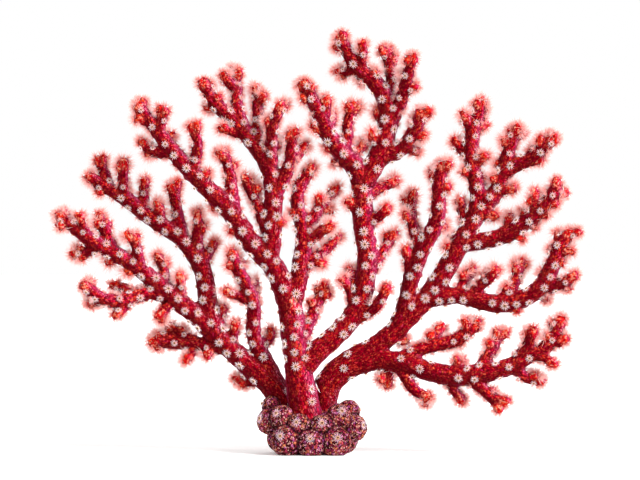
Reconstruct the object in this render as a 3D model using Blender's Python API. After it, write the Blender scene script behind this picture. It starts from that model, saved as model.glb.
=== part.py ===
"""Red finger gorgonian: a fan of knobbly branches on a lumpy holdfast that is cut flat underneath.

Metres, +Z up. The fan faces -Y. The origin is on the table, under the middle of the holdfast.
Every bough is one solid with its twigs and knobs fused to it, and a bough is parted from the one
that it grows from just past their fork.
"""

import math

import bmesh
import bpy
from mathutils import Vector

# Driving dimensions, in metres.
COLONY_HEIGHT = 0.300
PARTING_GAP = 0.0003
SOCKET_GAP = 0.0005
SOCKET_RINGS = 3
MOUND_CORE = (0.0270, 0.0200, 0.0220)
CORE_MIDDLE = 0.0092

# Routes are laid out on a grid: steps to the right of the foot's middle, and steps up from the table.
STEPS_HIGH = 428
STEP = COLONY_HEIGHT / STEPS_HIGH

# How round the solids are, as Blender's bevel resolution: 1 gives six sides, 0 gives four.
BOUGH_SIDES = 1
TWIG_SIDES = 1
KNOB_SIDES = 0

# A tube with flat sides is drawn this much thicker than the round limb that it stands for.
FULLNESS = 1.10

# Share of the triangles that are kept once a solid's parts are fused.
BOUGH_KEEPS = 0.56
THINNING_HOLD = 1000.0

# A bough's own solid begins where its skin is this share of its radius clear of what it grows beside.
CLEAR_SHARE = 0.20

# Corners this near to the middle of a flat joint face, in radii, stay as they are.
CAP_REACH = 1.35

# A blunt tip: how far the last full ring is drawn back, and the size of the ring that closes it, in radii.
TIP_DRAWN_BACK = 0.65
TIP_RING = 0.55

# How finely a limb is sampled when the distance to it is measured, and the share of a bough at most
# that its parent may take. A parting keeps this many steps away from the bough's own bends.
SAMPLES = 100
PARENT_TAKES = 0.7
STEPS_FROM_BEND = 2

WELD = 1e-6
LUMP_ROUNDNESS = 2
HOLDFAST_KEEPS = 0.55

# Thickness of what every bough carries, in grid steps.
TWIG_TIP = 7.6
TWIG_ROOT = 7.4
TWIG_ROOT_PER_LENGTH = 0.075
KNOB_ROOT = 6.6
KNOB_TIP = 6.4

# Twigs turn by turns towards the front and the back, by this share of their length.
TWIG_SWING = 0.30
KNOB_SWING = 0.45

# Each bough: what it grows from, how far back its tip leans (millimetres), its thickness from root
# to tip (grid steps), its route, and the routes of the twigs and knobs that it carries.
BOUGHS = {
    "trunk": {
        "from": "holdfast",
        "lean": (-7, -3),
        "thick": (31, 26, 23, 21, 20),
        "route": [(-5, 24), (-9, 51), (-13, 75), (-15, 96), (-19, 117), (-21, 137), (-22, 153)],
        "twigs": [[(-12, 111), (-5, 128), (2, 143), (8, 158), (13, 170)]],
        "knobs": [[(3, 146), (-2, 154)], [(8, 157), (5, 167)], [(8, 155), (17, 162)]],
    },
    "great_left_bough": {
        "from": "trunk",
        "lean": -12,
        "thick": (20, 18, 17, 16, 14, 12, 9),
        "route": [
            (-21, 141), (-28, 163), (-36, 183), (-47, 197), (-60, 210), (-72, 228), (-86, 248),
            (-101, 262), (-114, 275), (-130, 292), (-145, 310), (-156, 325), (-166, 338), (-176, 351),
        ],
        "twigs": [
            [(-78, 240), (-81, 263), (-83, 283), (-89, 305)],
            [(-119, 283), (-115, 303), (-116, 318), (-122, 330)],
            [(-142, 302), (-157, 302), (-165, 306), (-172, 314)],
            [(-154, 323), (-150, 336), (-152, 347)],
        ],
        "knobs": [
            [(-86, 293), (-95, 302)], [(-83, 281), (-78, 290)], [(-117, 320), (-115, 332)],
            [(-160, 302), (-165, 298)], [(-150, 336), (-145, 346)], [(-170, 343), (-169, 355)],
            [(-164, 333), (-177, 336)], [(-147, 312), (-140, 321)], [(-111, 273), (-103, 283)],
            [(-88, 248), (-100, 247)], [(-72, 225), (-83, 224)],
        ],
    },
    "left_crown": {
        "from": "great_left_bough",
        "lean": 10,
        "thick": (17, 16, 15, 15, 13, 12, 9),
        "route": [
            (-44, 195), (-41, 213), (-40, 233), (-39, 253), (-40, 270), (-43, 285), (-51, 300),
            (-62, 314), (-73, 327), (-85, 339), (-98, 351), (-105, 363), (-111, 374),
        ],
        "twigs": [
            [(-43, 221), (-51, 240), (-59, 258), (-69, 279)],
            [(-74, 321), (-84, 324), (-93, 327)],
            [(-54, 309), (-54, 335), (-55, 350), (-57, 368)],
            [(-42, 285), (-41, 310), (-40, 326), (-35, 340), (-31, 352)],
            [(-65, 317), (-72, 333), (-76, 351), (-76, 368), (-80, 387)],
            [(-77, 363), (-84, 372), (-90, 381)],
        ],
        "knobs": [
            [(-59, 258), (-54, 267)], [(-63, 267), (-60, 275)], [(-54, 348), (-48, 361)],
            [(-33, 343), (-25, 351)], [(-41, 323), (-45, 336)], [(-40, 303), (-33, 310)],
            [(-76, 373), (-74, 384)], [(-105, 361), (-103, 371)], [(-98, 350), (-94, 359)],
            [(-96, 347), (-107, 345)], [(-41, 225), (-28, 234)],
        ],
    },
    "left_crown_side": {
        "from": "left_crown",
        "lean": -4,
        "thick": (13, 11, 10, 9),
        "route": [(-37, 261), (-28, 278), (-22, 293), (-21, 307), (-22, 323)],
        "twigs": [[(-22, 291), (-13, 301), (-5, 311)]],
        "knobs": [[(-20, 313), (-16, 325)]],
    },
    "middle_spray": {
        "from": "trunk",
        "lean": 7,
        "thick": (17, 14, 14, 12, 11, 9),
        "route": [
            (-20, 151), (-14, 173), (-12, 191), (-9, 210), (-10, 225), (-14, 243), (-15, 257),
            (-11, 271), (-5, 280), (1, 288),
        ],
        "twigs": [
            [(-9, 221), (1, 236), (9, 248), (17, 257), (26, 267)],
            [(-7, 209), (5, 220), (20, 230)],
            [(-10, 183), (2, 196), (14, 205), (27, 219)],
        ],
        "knobs": [
            [(7, 245), (7, 258)], [(9, 243), (19, 244)], [(1, 193), (12, 190)],
            [(-14, 263), (-19, 272)], [(-14, 237), (-22, 242)],
        ],
    },
    "tall_bough": {
        "from": "trunk",
        "lean": 3,
        "thick": (19, 18, 17, 17, 18, 18),
        "route": [
            (-9, 87), (5, 103), (21, 117), (35, 131), (45, 146), (51, 163), (54, 183), (55, 203),
            (52, 223), (50, 243), (50, 260), (49, 275),
        ],
        "twigs": [
            [(41, 151), (38, 168), (37, 187)],
            [(40, 135), (54, 141), (65, 150), (76, 169)],
            [(56, 181), (67, 198), (76, 211), (84, 223)],
            [(54, 227), (64, 236), (71, 242), (76, 249)],
            [(54, 258), (65, 265), (75, 269), (85, 275)],
            [(48, 241), (39, 249), (34, 255)],
        ],
        "knobs": [[(38, 163), (29, 176)], [(77, 210), (74, 220)]],
    },
    "crown_left": {
        "from": "tall_bough",
        "lean": -12,
        "thick": (18, 17, 14, 12, 9),
        "route": [
            (50, 270), (43, 287), (33, 298), (23, 309), (15, 322), (9, 336), (3, 349), (-4, 362),
            (-9, 374),
        ],
        "twigs": [
            [(33, 300), (35, 315), (36, 331), (41, 351)],
            [(12, 329), (13, 343), (14, 358)],
            [(15, 322), (19, 333), (20, 344)],
            [(18, 316), (8, 323), (-1, 329)],
            [(33, 300), (46, 304), (53, 313)],
        ],
        "knobs": [
            [(39, 341), (34, 349)], [(40, 341), (47, 348)], [(23, 305), (12, 306)],
            [(33, 291), (20, 291)], [(-4, 358), (-11, 355)], [(-7, 366), (-14, 369)],
            [(-3, 360), (0, 369)],
        ],
    },
    "crown_right": {
        "from": "tall_bough",
        "lean": 8,
        "thick": (18, 18, 17, 15, 12, 9),
        "route": [
            (50, 270), (60, 287), (68, 301), (72, 315), (76, 333), (76, 348), (70, 361), (60, 374),
            (48, 384), (39, 395), (33, 406), (26, 419),
        ],
        "twigs": [
            [(76, 337), (80, 355), (80, 373), (77, 388), (76, 408)],
            [(79, 333), (88, 353), (93, 369), (97, 385), (101, 400)],
            [(51, 381), (40, 383), (30, 382), (23, 384)],
            [(49, 385), (50, 399), (50, 412)],
            [(76, 331), (68, 337), (64, 345)],
            [(72, 305), (63, 314), (58, 323)],
        ],
        "knobs": [
            [(75, 395), (69, 406)], [(78, 387), (83, 398)], [(97, 387), (94, 397)],
            [(93, 371), (90, 383)], [(92, 361), (104, 369)], [(32, 382), (29, 377)],
            [(30, 411), (31, 422)], [(34, 403), (22, 408)], [(61, 373), (62, 384)],
            [(57, 374), (46, 373)],
        ],
    },
    "crown_side": {
        "from": "crown_right",
        "lean": -8,
        "thick": (15, 13, 11, 9),
        "route": [(69, 297), (81, 301), (92, 308), (99, 319), (106, 332), (109, 345)],
        "twigs": [[(94, 309), (100, 304), (108, 303)]],
        "knobs": [[(107, 335), (118, 344)], [(102, 325), (102, 336)], [(101, 317), (113, 319)]],
    },
    "left_bough": {
        "from": "holdfast",
        "lean": (11, -8),
        "thick": (25, 20, 17, 17, 15, 13, 12, 9),
        "route": [
            (-24, 41), (-40, 67), (-67, 91), (-90, 112), (-116, 138), (-142, 159), (-169, 182),
            (-194, 199), (-218, 212), (-240, 229), (-255, 241),
        ],
        "twigs": [
            [(-52, 73), (-64, 72), (-79, 74)],
            [(-81, 113), (-78, 124), (-76, 132)],
            [(-93, 128), (-91, 139), (-89, 148)],
            [(-131, 153), (-132, 166), (-132, 180)],
            [(-146, 163), (-149, 183), (-152, 193), (-156, 200)],
            [(-171, 185), (-175, 203), (-177, 220)],
            [(-200, 205), (-206, 221), (-212, 233), (-213, 241)],
            [(-225, 217), (-229, 229), (-233, 241)],
            [(-212, 207), (-222, 204), (-231, 200), (-241, 200)],
            [(-140, 154), (-148, 144), (-156, 136)],
        ],
        "knobs": [
            [(-66, 72), (-72, 67)], [(-149, 183), (-146, 192)], [(-176, 210), (-186, 221)],
            [(-209, 225), (-204, 232)], [(-212, 227), (-217, 232)], [(-225, 203), (-234, 207)],
            [(-228, 200), (-232, 195)], [(-244, 233), (-249, 243)], [(-244, 231), (-254, 228)],
            [(-196, 198), (-206, 192)], [(-177, 187), (-187, 181)], [(-151, 139), (-152, 133)],
            [(-99, 108), (-107, 96)],
        ],
    },
    "left_under_spray": {
        "from": "left_bough",
        "lean": -14,
        "thick": (13, 12, 11, 9),
        "route": [
            (-146, 158), (-162, 162), (-176, 158), (-190, 154), (-204, 154), (-215, 159),
            (-224, 166), (-230, 171),
        ],
        "twigs": [
            [(-174, 159), (-184, 164), (-193, 167), (-201, 170)],
            [(-184, 152), (-190, 145), (-198, 138)],
            [(-208, 155), (-217, 152), (-225, 153)],
        ],
        "knobs": [[(-220, 152), (-219, 147)], [(-220, 163), (-222, 174)]],
    },
    "left_low_spray": {
        "from": "left_bough",
        "lean": 14,
        "thick": (14, 12, 11, 9),
        "route": [(-86, 106), (-99, 109), (-114, 109), (-130, 110), (-146, 111), (-163, 111)],
        "twigs": [
            [(-115, 110), (-126, 116), (-137, 122), (-148, 129)],
            [(-117, 108), (-122, 100), (-128, 91)],
            [(-138, 112), (-148, 116), (-158, 118)],
        ],
        "knobs": [[(-134, 120), (-129, 125)], [(-152, 110), (-157, 104)]],
    },
    "left_upper_bough": {
        "from": "left_bough",
        "lean": 13,
        "thick": (18, 16, 15, 14, 13, 12, 9),
        "route": [
            (-99, 121), (-104, 143), (-106, 163), (-109, 180), (-115, 194), (-125, 208),
            (-136, 219), (-152, 229), (-169, 241), (-185, 253), (-200, 263), (-214, 270), (-227, 279),
        ],
        "twigs": [
            [(-108, 193), (-103, 203), (-97, 213)],
            [(-116, 203), (-115, 223), (-115, 244)],
            [(-130, 219), (-135, 238), (-138, 255), (-143, 269)],
            [(-151, 231), (-153, 242), (-155, 252)],
            [(-168, 243), (-169, 260), (-168, 275)],
            [(-187, 256), (-190, 275), (-188, 294)],
            [(-204, 265), (-209, 281), (-216, 295)],
        ],
        "knobs": [
            [(-114, 221), (-108, 229)], [(-137, 258), (-135, 273)], [(-190, 281), (-194, 290)],
            [(-211, 287), (-209, 297)], [(-209, 265), (-215, 260)],
        ],
    },
    "inner_left_bough": {
        "from": "left_bough",
        "lean": -6,
        "thick": (18, 14, 12, 11, 9),
        "route": [
            (-36, 66), (-46, 88), (-54, 105), (-59, 121), (-59, 137), (-59, 150), (-64, 164),
            (-71, 178), (-77, 191), (-81, 204),
        ],
        "twigs": [
            [(-55, 108), (-44, 114), (-41, 125)],
            [(-63, 153), (-72, 158), (-80, 160), (-88, 164)],
            [(-57, 151), (-58, 163), (-58, 174)],
        ],
        "knobs": [[(-76, 186), (-85, 191)], [(-74, 187), (-69, 194)]],
    },
    "right_bough": {
        "from": "holdfast",
        "lean": (9, 11),
        "thick": (21, 18, 17, 17, 17, 17, 16, 14, 12, 9),
        "route": [
            (14, 39), (11, 57), (14, 71), (26, 85), (41, 96), (56, 103), (70, 112), (83, 123),
            (96, 136), (108, 149), (120, 163), (130, 178), (138, 192), (145, 205), (153, 219),
            (162, 234), (174, 249), (184, 262), (190, 275), (193, 288), (196, 301), (200, 313),
            (201, 326),
        ],
        "twigs": [
            [(81, 117), (89, 113), (96, 113)],
            [(170, 240), (178, 237), (186, 239)],
            [(155, 223), (151, 241), (147, 256)],
            [(186, 263), (195, 263), (204, 267)],
        ],
        "knobs": [
            [(143, 203), (133, 208)], [(148, 210), (138, 219)], [(189, 268), (180, 277)],
            [(192, 286), (184, 291)], [(200, 315), (207, 328)], [(200, 313), (213, 323)],
            [(196, 305), (191, 316)],
        ],
    },
    "right_mid_bough": {
        "from": "right_bough",
        "lean": -9,
        "thick": (16, 15, 14, 14, 13, 12, 9),
        "route": [
            (82, 122), (90, 138), (95, 155), (98, 172), (103, 188), (109, 203), (117, 218),
            (124, 234), (126, 250), (126, 265), (128, 279), (130, 293),
        ],
        "twigs": [
            [(108, 201), (104, 217), (100, 231), (99, 246), (101, 263)],
            [(99, 178), (96, 193), (93, 207)],
            [(126, 267), (122, 276), (118, 284)],
        ],
        "knobs": [
            [(99, 230), (92, 241)], [(99, 245), (92, 255)], [(128, 281), (138, 293)],
            [(123, 223), (134, 230)], [(127, 261), (137, 269)],
        ],
    },
    "right_low_bough": {
        "from": "right_bough",
        "lean": -11,
        "thick": (17, 15, 15, 17, 17, 16, 14, 12, 9),
        "route": [
            (15, 53), (19, 67), (29, 78), (42, 86), (58, 91), (75, 94), (90, 91), (106, 86),
            (124, 81), (144, 78), (163, 80), (183, 83), (201, 90), (217, 99), (231, 106),
            (240, 116), (245, 127), (249, 138),
        ],
        "twigs": [
            [(82, 92), (77, 79), (75, 66)],
            [(86, 89), (94, 75), (103, 63), (119, 56)],
            [(135, 76), (141, 65), (151, 51)],
            [(155, 76), (168, 67), (180, 56), (196, 53)],
            [(202, 87), (213, 77), (231, 72)],
            [(222, 100), (233, 96), (242, 89)],
            [(165, 82), (176, 99), (183, 111), (185, 124)],
            [(202, 91), (211, 104), (218, 116), (221, 128)],
            [(143, 80), (146, 89), (151, 95)],
            [(237, 111), (246, 112), (254, 117)],
        ],
        "knobs": [
            [(72, 79), (67, 72)], [(108, 60), (115, 49)], [(180, 56), (187, 43)],
            [(174, 62), (182, 63)], [(215, 76), (224, 79)], [(185, 113), (195, 123)],
            [(180, 104), (176, 113)], [(217, 113), (213, 124)], [(146, 88), (144, 96)],
            [(244, 124), (239, 133)], [(239, 113), (233, 119)],
        ],
    },
    "right_low_upper": {
        "from": "right_low_bough",
        "lean": 6,
        "thick": (13, 11, 11, 9),
        "route": [
            (86, 92), (99, 100), (112, 106), (126, 109), (140, 112), (152, 119), (161, 126),
            (166, 134),
        ],
        "twigs": [
            [(113, 106), (122, 117), (131, 129)],
            [(152, 119), (154, 126), (153, 134)],
        ],
        "knobs": [[(119, 113), (118, 121)], [(140, 112), (149, 110)]],
    },
    "right_side_bough": {
        "from": "right_bough",
        "lean": -3,
        "thick": (15, 14, 15, 15, 14, 13, 9),
        "route": [
            (114, 155), (128, 156), (144, 158), (160, 155), (176, 151), (192, 150), (207, 154),
            (220, 160), (230, 170), (237, 182), (242, 194), (246, 206), (253, 215), (259, 224),
        ],
        "twigs": [
            [(144, 160), (153, 172), (162, 186)],
            [(157, 157), (169, 169), (178, 177), (185, 187)],
            [(188, 153), (200, 166), (206, 181), (209, 194)],
            [(228, 165), (240, 167), (252, 173), (264, 180)],
            [(246, 204), (246, 213), (245, 223)],
        ],
        "knobs": [
            [(153, 172), (151, 181)], [(173, 172), (174, 181)], [(206, 178), (202, 189)],
            [(207, 184), (214, 191)], [(197, 161), (192, 168)], [(246, 169), (258, 166)],
            [(256, 218), (268, 223)], [(225, 161), (236, 153)], [(199, 149), (206, 143)],
            [(243, 199), (238, 207)], [(247, 203), (261, 203)], [(235, 177), (228, 182)],
            [(241, 190), (251, 193)],
        ],
    },
    "right_spire": {
        "from": "right_bough",
        "lean": 17,
        "thick": (15, 13, 13, 13, 12, 9),
        "route": [
            (152, 215), (160, 233), (165, 250), (165, 267), (161, 283), (159, 298), (160, 313),
            (161, 327), (166, 340), (171, 355),
        ],
        "twigs": [
            [(158, 297), (149, 305), (141, 315)],
            [(160, 323), (155, 332), (151, 341)],
            [(162, 322), (169, 327), (175, 331)],
            [(162, 287), (169, 295), (175, 300)],
        ],
        "knobs": [
            [(160, 277), (150, 284)], [(165, 267), (174, 276)], [(166, 340), (165, 353)],
            [(167, 340), (174, 346)],
        ],
    },
    "right_fan": {
        "from": "right_bough",
        "lean": 2,
        "thick": (13, 12, 11, 9),
        "route": [(192, 281), (204, 289), (217, 294), (228, 303), (237, 311), (244, 318)],
        "twigs": [],
        "knobs": [
            [(229, 304), (227, 317)], [(236, 310), (235, 321)], [(216, 293), (230, 294)],
            [(222, 298), (219, 306)],
        ],
    },
    "right_arm": {
        "from": "right_bough",
        "lean": -5,
        "thick": (15, 14, 14, 13, 11, 9),
        "route": [
            (150, 210), (166, 212), (182, 215), (196, 220), (208, 228), (220, 237), (231, 247),
            (238, 257), (243, 266), (244, 275),
        ],
        "twigs": [
            [(195, 220), (196, 231), (199, 240)],
            [(222, 239), (221, 253), (223, 264)],
            [(238, 256), (246, 259), (254, 262)],
        ],
        "knobs": [
            [(221, 247), (216, 255)], [(214, 232), (210, 244)], [(235, 252), (245, 249)],
            [(239, 256), (233, 261)], [(226, 242), (235, 239)], [(214, 232), (225, 227)],
            [(201, 222), (211, 215)],
        ],
    },
}

# The holdfast's lumps: steps to the right, steps back from the middle, steps up, and radius.
LUMPS = [
    (-26, -27, 14, 16), (-1, -31, 12, 15), (23, -28, 13, 16),
    (-13, -25, 30, 12), (9, -26, 29, 12), (-30, -16, 37, 13), (26, -18, 38, 13),
    (-42, -6, 33, 14), (-41, 3, 48, 10), (41, -4, 26, 14), (36, 5, 42, 12),
    (-30, 20, 15, 16), (30, 20, 14, 16), (-13, 31, 14, 16), (11, 32, 14, 16),
    (-25, 18, 36, 14), (25, 19, 36, 14), (0, 22, 37, 14),
]


def remove_everything():
    for obj in list(bpy.data.objects):
        bpy.data.objects.remove(obj, do_unlink=True)


def new_collection(name):
    made = bpy.data.collections.new(name)
    bpy.context.scene.collection.children.link(made)
    return made


def flesh(name, colour, roughness):
    """A coral's dull skin."""
    material = bpy.data.materials.new(name)
    material.use_nodes = True
    shader = material.node_tree.nodes["Principled BSDF"]
    shader.inputs["Base Color"].default_value = (*colour, 1.0)
    shader.inputs["Roughness"].default_value = roughness
    shader.inputs["Metallic"].default_value = 0.0
    return material


def spread(values, share):
    """The value at this share of the way along a list of evenly spaced values."""
    place = share * (len(values) - 1)
    low = min(int(place), len(values) - 2)
    return values[low] + (values[low + 1] - values[low]) * (place - low)


class Limb:
    """A tapered, bending limb: points in metres, and its radius at each of them."""

    def __init__(self, route, thick, depth_start, depth_end):
        flat = [Vector((x * STEP, 0.0, z * STEP)) for x, z in route]
        along = [0.0]
        for here, there in zip(flat, flat[1:]):
            along.append(along[-1] + (there - here).length)
        self.length = along[-1]
        self.along = along
        shares = [s / self.length for s in along]
        depths = [depth_start + (depth_end - depth_start) * t * t * (3 - 2 * t) for t in shares]
        self.points = [Vector((p.x, d, p.z)) for p, d in zip(flat, depths)]
        self.radii = [spread(thick, t) * STEP / 2 for t in shares]

    def at(self, distance):
        """Point and radius this far along the limb, measured in the fan's plane."""
        for i in range(len(self.along) - 1):
            if distance <= self.along[i + 1] or i == len(self.along) - 2:
                t = (distance - self.along[i]) / (self.along[i + 1] - self.along[i])
                point = self.points[i].lerp(self.points[i + 1], t)
                return point, self.radii[i] + (self.radii[i + 1] - self.radii[i]) * t
        return self.points[-1], self.radii[-1]

    def nearest(self, x, z):
        """How deep the limb lies where its route passes nearest to this place on the grid."""
        target = Vector((x * STEP, 0.0, z * STEP))
        samples = [self.at(self.length * k / SAMPLES)[0] for k in range(SAMPLES + 1)]
        return min(samples, key=lambda p: (Vector((p.x, 0.0, p.z)) - target).length).y

    def clear_of(self, point, radius):
        """Distance from the limb's skin to the skin of a ball."""
        samples = [self.at(self.length * k / SAMPLES) for k in range(SAMPLES + 1)]
        return min((point - p).length - radius - r for p, r in samples)

    def stretch(self, start, end):
        """Points and radii of the stretch between two distances along the limb."""
        inner = [i for i, s in enumerate(self.along) if start + STEP < s < end - STEP]
        first, last = self.at(start), self.at(end)
        points = [first[0]] + [self.points[i] for i in inner] + [last[0]]
        radii = [first[1]] + [self.radii[i] for i in inner] + [last[1]]
        return points, radii


def rounded_end(points, radii):
    """Draws the last ring back and adds a smaller one, so that a tip ends blunt and round."""
    end, radius = points[-1], radii[-1]
    towards = (end - points[-2]).normalized()
    points = points[:-1] + [end - towards * radius * TIP_DRAWN_BACK, end]
    radii = radii[:-1] + [radius, radius * TIP_RING]
    return points, radii


def tube(name, points, radii, sides, collection, round_tip=True):
    """A closed tapered tube through these points, as a mesh object."""
    if round_tip:
        points, radii = rounded_end(points, radii)
    count = 2 * sides + 4
    fullness = FULLNESS * math.sqrt(2 * math.pi / (count * math.sin(2 * math.pi / count)))
    curve = bpy.data.curves.new(name, "CURVE")
    curve.dimensions = "3D"
    curve.bevel_depth = 1.0
    curve.bevel_resolution = sides
    curve.use_fill_caps = True
    curve.twist_mode = "MINIMUM"
    spline = curve.splines.new("POLY")
    spline.points.add(len(points) - 1)
    for spot, point, radius in zip(spline.points, points, radii):
        spot.co = (*point, 1.0)
        spot.radius = radius * fullness
    guide = bpy.data.objects.new(name + "_line", curve)
    collection.objects.link(guide)
    bpy.context.view_layer.update()
    graph = bpy.context.evaluated_depsgraph_get()
    mesh = bpy.data.meshes.new_from_object(guide.evaluated_get(graph))
    bpy.data.objects.remove(guide)
    weld = bmesh.new()
    weld.from_mesh(mesh)
    bmesh.ops.remove_doubles(weld, verts=weld.verts, dist=WELD)
    bmesh.ops.recalc_face_normals(weld, faces=weld.faces)
    weld.to_mesh(mesh)
    weld.free()
    solid = bpy.data.objects.new(name, mesh)
    collection.objects.link(solid)
    return solid


def lump(name, centre, radius, collection, squash=(1.0, 1.0, 1.0)):
    """A ball, or an egg where it is squashed."""
    mesh = bpy.data.meshes.new(name)
    shape = bmesh.new()
    bmesh.ops.create_icosphere(shape, subdivisions=LUMP_ROUNDNESS, radius=radius)
    bmesh.ops.scale(shape, vec=squash, verts=shape.verts)
    bmesh.ops.translate(shape, vec=centre, verts=shape.verts)
    shape.to_mesh(mesh)
    shape.free()
    solid = bpy.data.objects.new(name, mesh)
    collection.objects.link(solid)
    return solid


def boolean(body, operation, tools, workshop):
    """Joins or cuts body with all the tools at once, and leaves it a plain mesh."""
    group = bpy.data.collections.new(body.name + "_" + operation.lower())
    bpy.context.scene.collection.children.link(group)
    for tool in tools:
        workshop.objects.unlink(tool)
        group.objects.link(tool)
    change = body.modifiers.new(operation.title(), "BOOLEAN")
    change.operation = operation
    change.operand_type = "COLLECTION"
    change.collection = group
    change.solver = "EXACT"
    bpy.context.view_layer.update()
    graph = bpy.context.evaluated_depsgraph_get()
    mesh = bpy.data.meshes.new_from_object(body.evaluated_get(graph))
    body.modifiers.remove(change)
    old = body.data
    body.data = mesh
    bpy.data.meshes.remove(old)
    for tool in tools:
        bpy.data.objects.remove(tool)
    bpy.data.collections.remove(group)


def thin_out(body, keeps, faces_kept):
    """Takes out small triangles that fusing leaves, but none on the table or at the flat faces kept."""
    free = body.vertex_groups.new(name="free_to_thin")
    corners = {v.index for v in body.data.vertices if v.co.z < PARTING_GAP}
    for centre, radius in faces_kept:
        reach = radius * CAP_REACH
        corners |= {v.index for v in body.data.vertices if (v.co - centre).length < reach}
    free.add([v.index for v in body.data.vertices if v.index not in corners], 1.0, "REPLACE")
    thinning = body.modifiers.new("Thinning", "DECIMATE")
    thinning.decimate_type = "COLLAPSE"
    thinning.ratio = keeps
    thinning.use_collapse_triangulate = True
    thinning.vertex_group = free.name
    thinning.vertex_group_factor = THINNING_HOLD


def grow_limbs():
    """Every bough's own limb, and those of the twigs and knobs that it carries."""
    limbs = {}
    for name, bough in BOUGHS.items():
        lean = bough["lean"]
        if bough["from"] == "holdfast":
            start, end = lean[0] / 1000, lean[1] / 1000
        else:
            start = limbs[bough["from"]]["main"].nearest(*bough["route"][0])
            end = lean / 1000
        main = Limb(bough["route"], bough["thick"], start, end)
        twigs = []
        for i, route in enumerate(bough["twigs"]):
            turn = -1 if i % 2 else 1
            carrier = nearest_limb([main] + twigs, route[0])
            depth = carrier.nearest(*route[0])
            length = math.dist(route[0], route[-1])
            thick = (TWIG_ROOT + TWIG_ROOT_PER_LENGTH * length, TWIG_TIP)
            twigs.append(Limb(route, thick, depth, depth + turn * TWIG_SWING * length * STEP))
        knobs = []
        for i, route in enumerate(bough["knobs"]):
            turn = 1 if i % 2 else -1
            depth = nearest_limb([main] + twigs, route[0]).nearest(*route[0])
            swing = turn * KNOB_SWING * math.dist(*route) * STEP
            knobs.append(Limb(route, (KNOB_ROOT, KNOB_TIP), depth, depth + swing))
        limbs[name] = {"main": main, "twigs": twigs, "knobs": knobs}
    return limbs


def nearest_limb(choices, place):
    """The limb whose route passes nearest to a place on the grid."""
    target = Vector((place[0] * STEP, 0.0, place[1] * STEP))

    def distance(limb):
        samples = [limb.at(limb.length * k / SAMPLES)[0] for k in range(SAMPLES + 1)]
        return min((Vector((p.x, 0.0, p.z)) - target).length for p in samples)

    return min(choices, key=distance)


def parting(limbs, name):
    """How far along a bough its own solid begins: where it has come clear of all that it grows beside."""
    parent = BOUGHS[name]["from"]
    if parent == "holdfast":
        return 0.0
    own = limbs[name]["main"]
    others = [limbs[parent]["main"]] + limbs[parent]["twigs"] + limbs[parent]["knobs"]
    others += [limbs[n]["main"] for n in BOUGHS if n != name and BOUGHS[n]["from"] == parent]
    distance = 0.0
    while distance < own.length * PARENT_TAKES:
        point, radius = own.at(distance)
        if all(other.clear_of(point, radius) > CLEAR_SHARE * radius for other in others):
            break
        distance += STEP
    for place in own.along:
        if abs(place - distance) < STEPS_FROM_BEND * STEP:
            distance = place + STEPS_FROM_BEND * STEP
    return distance


def build_bough(name, limbs, starts, material, collection, workshop):
    """One bough's solid: its own limb past the parting, its twigs and knobs, and its children's roots."""
    parts = limbs[name]
    start = starts[name]
    points, radii = parts["main"].stretch(start, parts["main"].length)
    body = tube(name, points, radii, BOUGH_SIDES, collection)
    fused = []
    rings_kept = SOCKET_RINGS if BOUGHS[name]["from"] == "holdfast" else 1
    faces_kept = list(zip(points, radii))[:rings_kept]
    for i, twig in enumerate(parts["twigs"]):
        fused.append(tube(f"{name}_twig_{i}", twig.points, twig.radii, TWIG_SIDES, workshop))
    for i, knob in enumerate(parts["knobs"]):
        fused.append(tube(f"{name}_knob_{i}", knob.points, knob.radii, KNOB_SIDES, workshop))
    for child in BOUGHS:
        if BOUGHS[child]["from"] != name:
            continue
        points, radii = limbs[child]["main"].stretch(0.0, starts[child] - PARTING_GAP)
        fused.append(tube(child + "_root", points, radii, BOUGH_SIDES, workshop, round_tip=False))
        faces_kept.append((points[-1], radii[-1]))
    boolean(body, "UNION", fused, workshop)
    thin_out(body, BOUGH_KEEPS, faces_kept)
    body.data.materials.clear()
    body.data.materials.append(material)


def build_holdfast(limbs, material, collection, workshop):
    """The lumpy mound, cut flat at the table, with a socket round the root of each stem."""
    core = tuple(size / MOUND_CORE[0] for size in MOUND_CORE)
    centre = Vector((0.0, 0.0, CORE_MIDDLE))
    body = lump("holdfast", centre, MOUND_CORE[0], collection, core)
    lumps = []
    for i, (right, back, up, radius) in enumerate(LUMPS):
        place = Vector((right, back, up)) * STEP
        lumps.append(lump(f"lump_{i}", place, radius * STEP, workshop))
    boolean(body, "UNION", lumps, workshop)
    below = bpy.data.meshes.new("below_table")
    shape = bmesh.new()
    bmesh.ops.create_cube(shape, size=COLONY_HEIGHT)
    bmesh.ops.translate(shape, vec=(0.0, 0.0, -COLONY_HEIGHT / 2), verts=shape.verts)
    shape.to_mesh(below)
    shape.free()
    slab = bpy.data.objects.new("below_table", below)
    workshop.objects.link(slab)
    sockets = [slab]
    faces_kept = []
    for name, bough in BOUGHS.items():
        if bough["from"] == "holdfast":
            main = limbs[name]["main"]
            points, radii = main.stretch(0.0, main.along[SOCKET_RINGS - 1])
            down = (points[0] - points[1]).normalized()
            points[0] = points[0] + down * SOCKET_GAP
            radii = [radius + SOCKET_GAP for radius in radii]
            faces_kept += list(zip(points, radii))
            sockets.append(tube(name + "_socket", points, radii, BOUGH_SIDES, workshop, round_tip=False))
    boolean(body, "DIFFERENCE", sockets, workshop)
    thin_out(body, HOLDFAST_KEEPS, faces_kept)
    body.data.materials.clear()
    body.data.materials.append(material)


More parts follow.
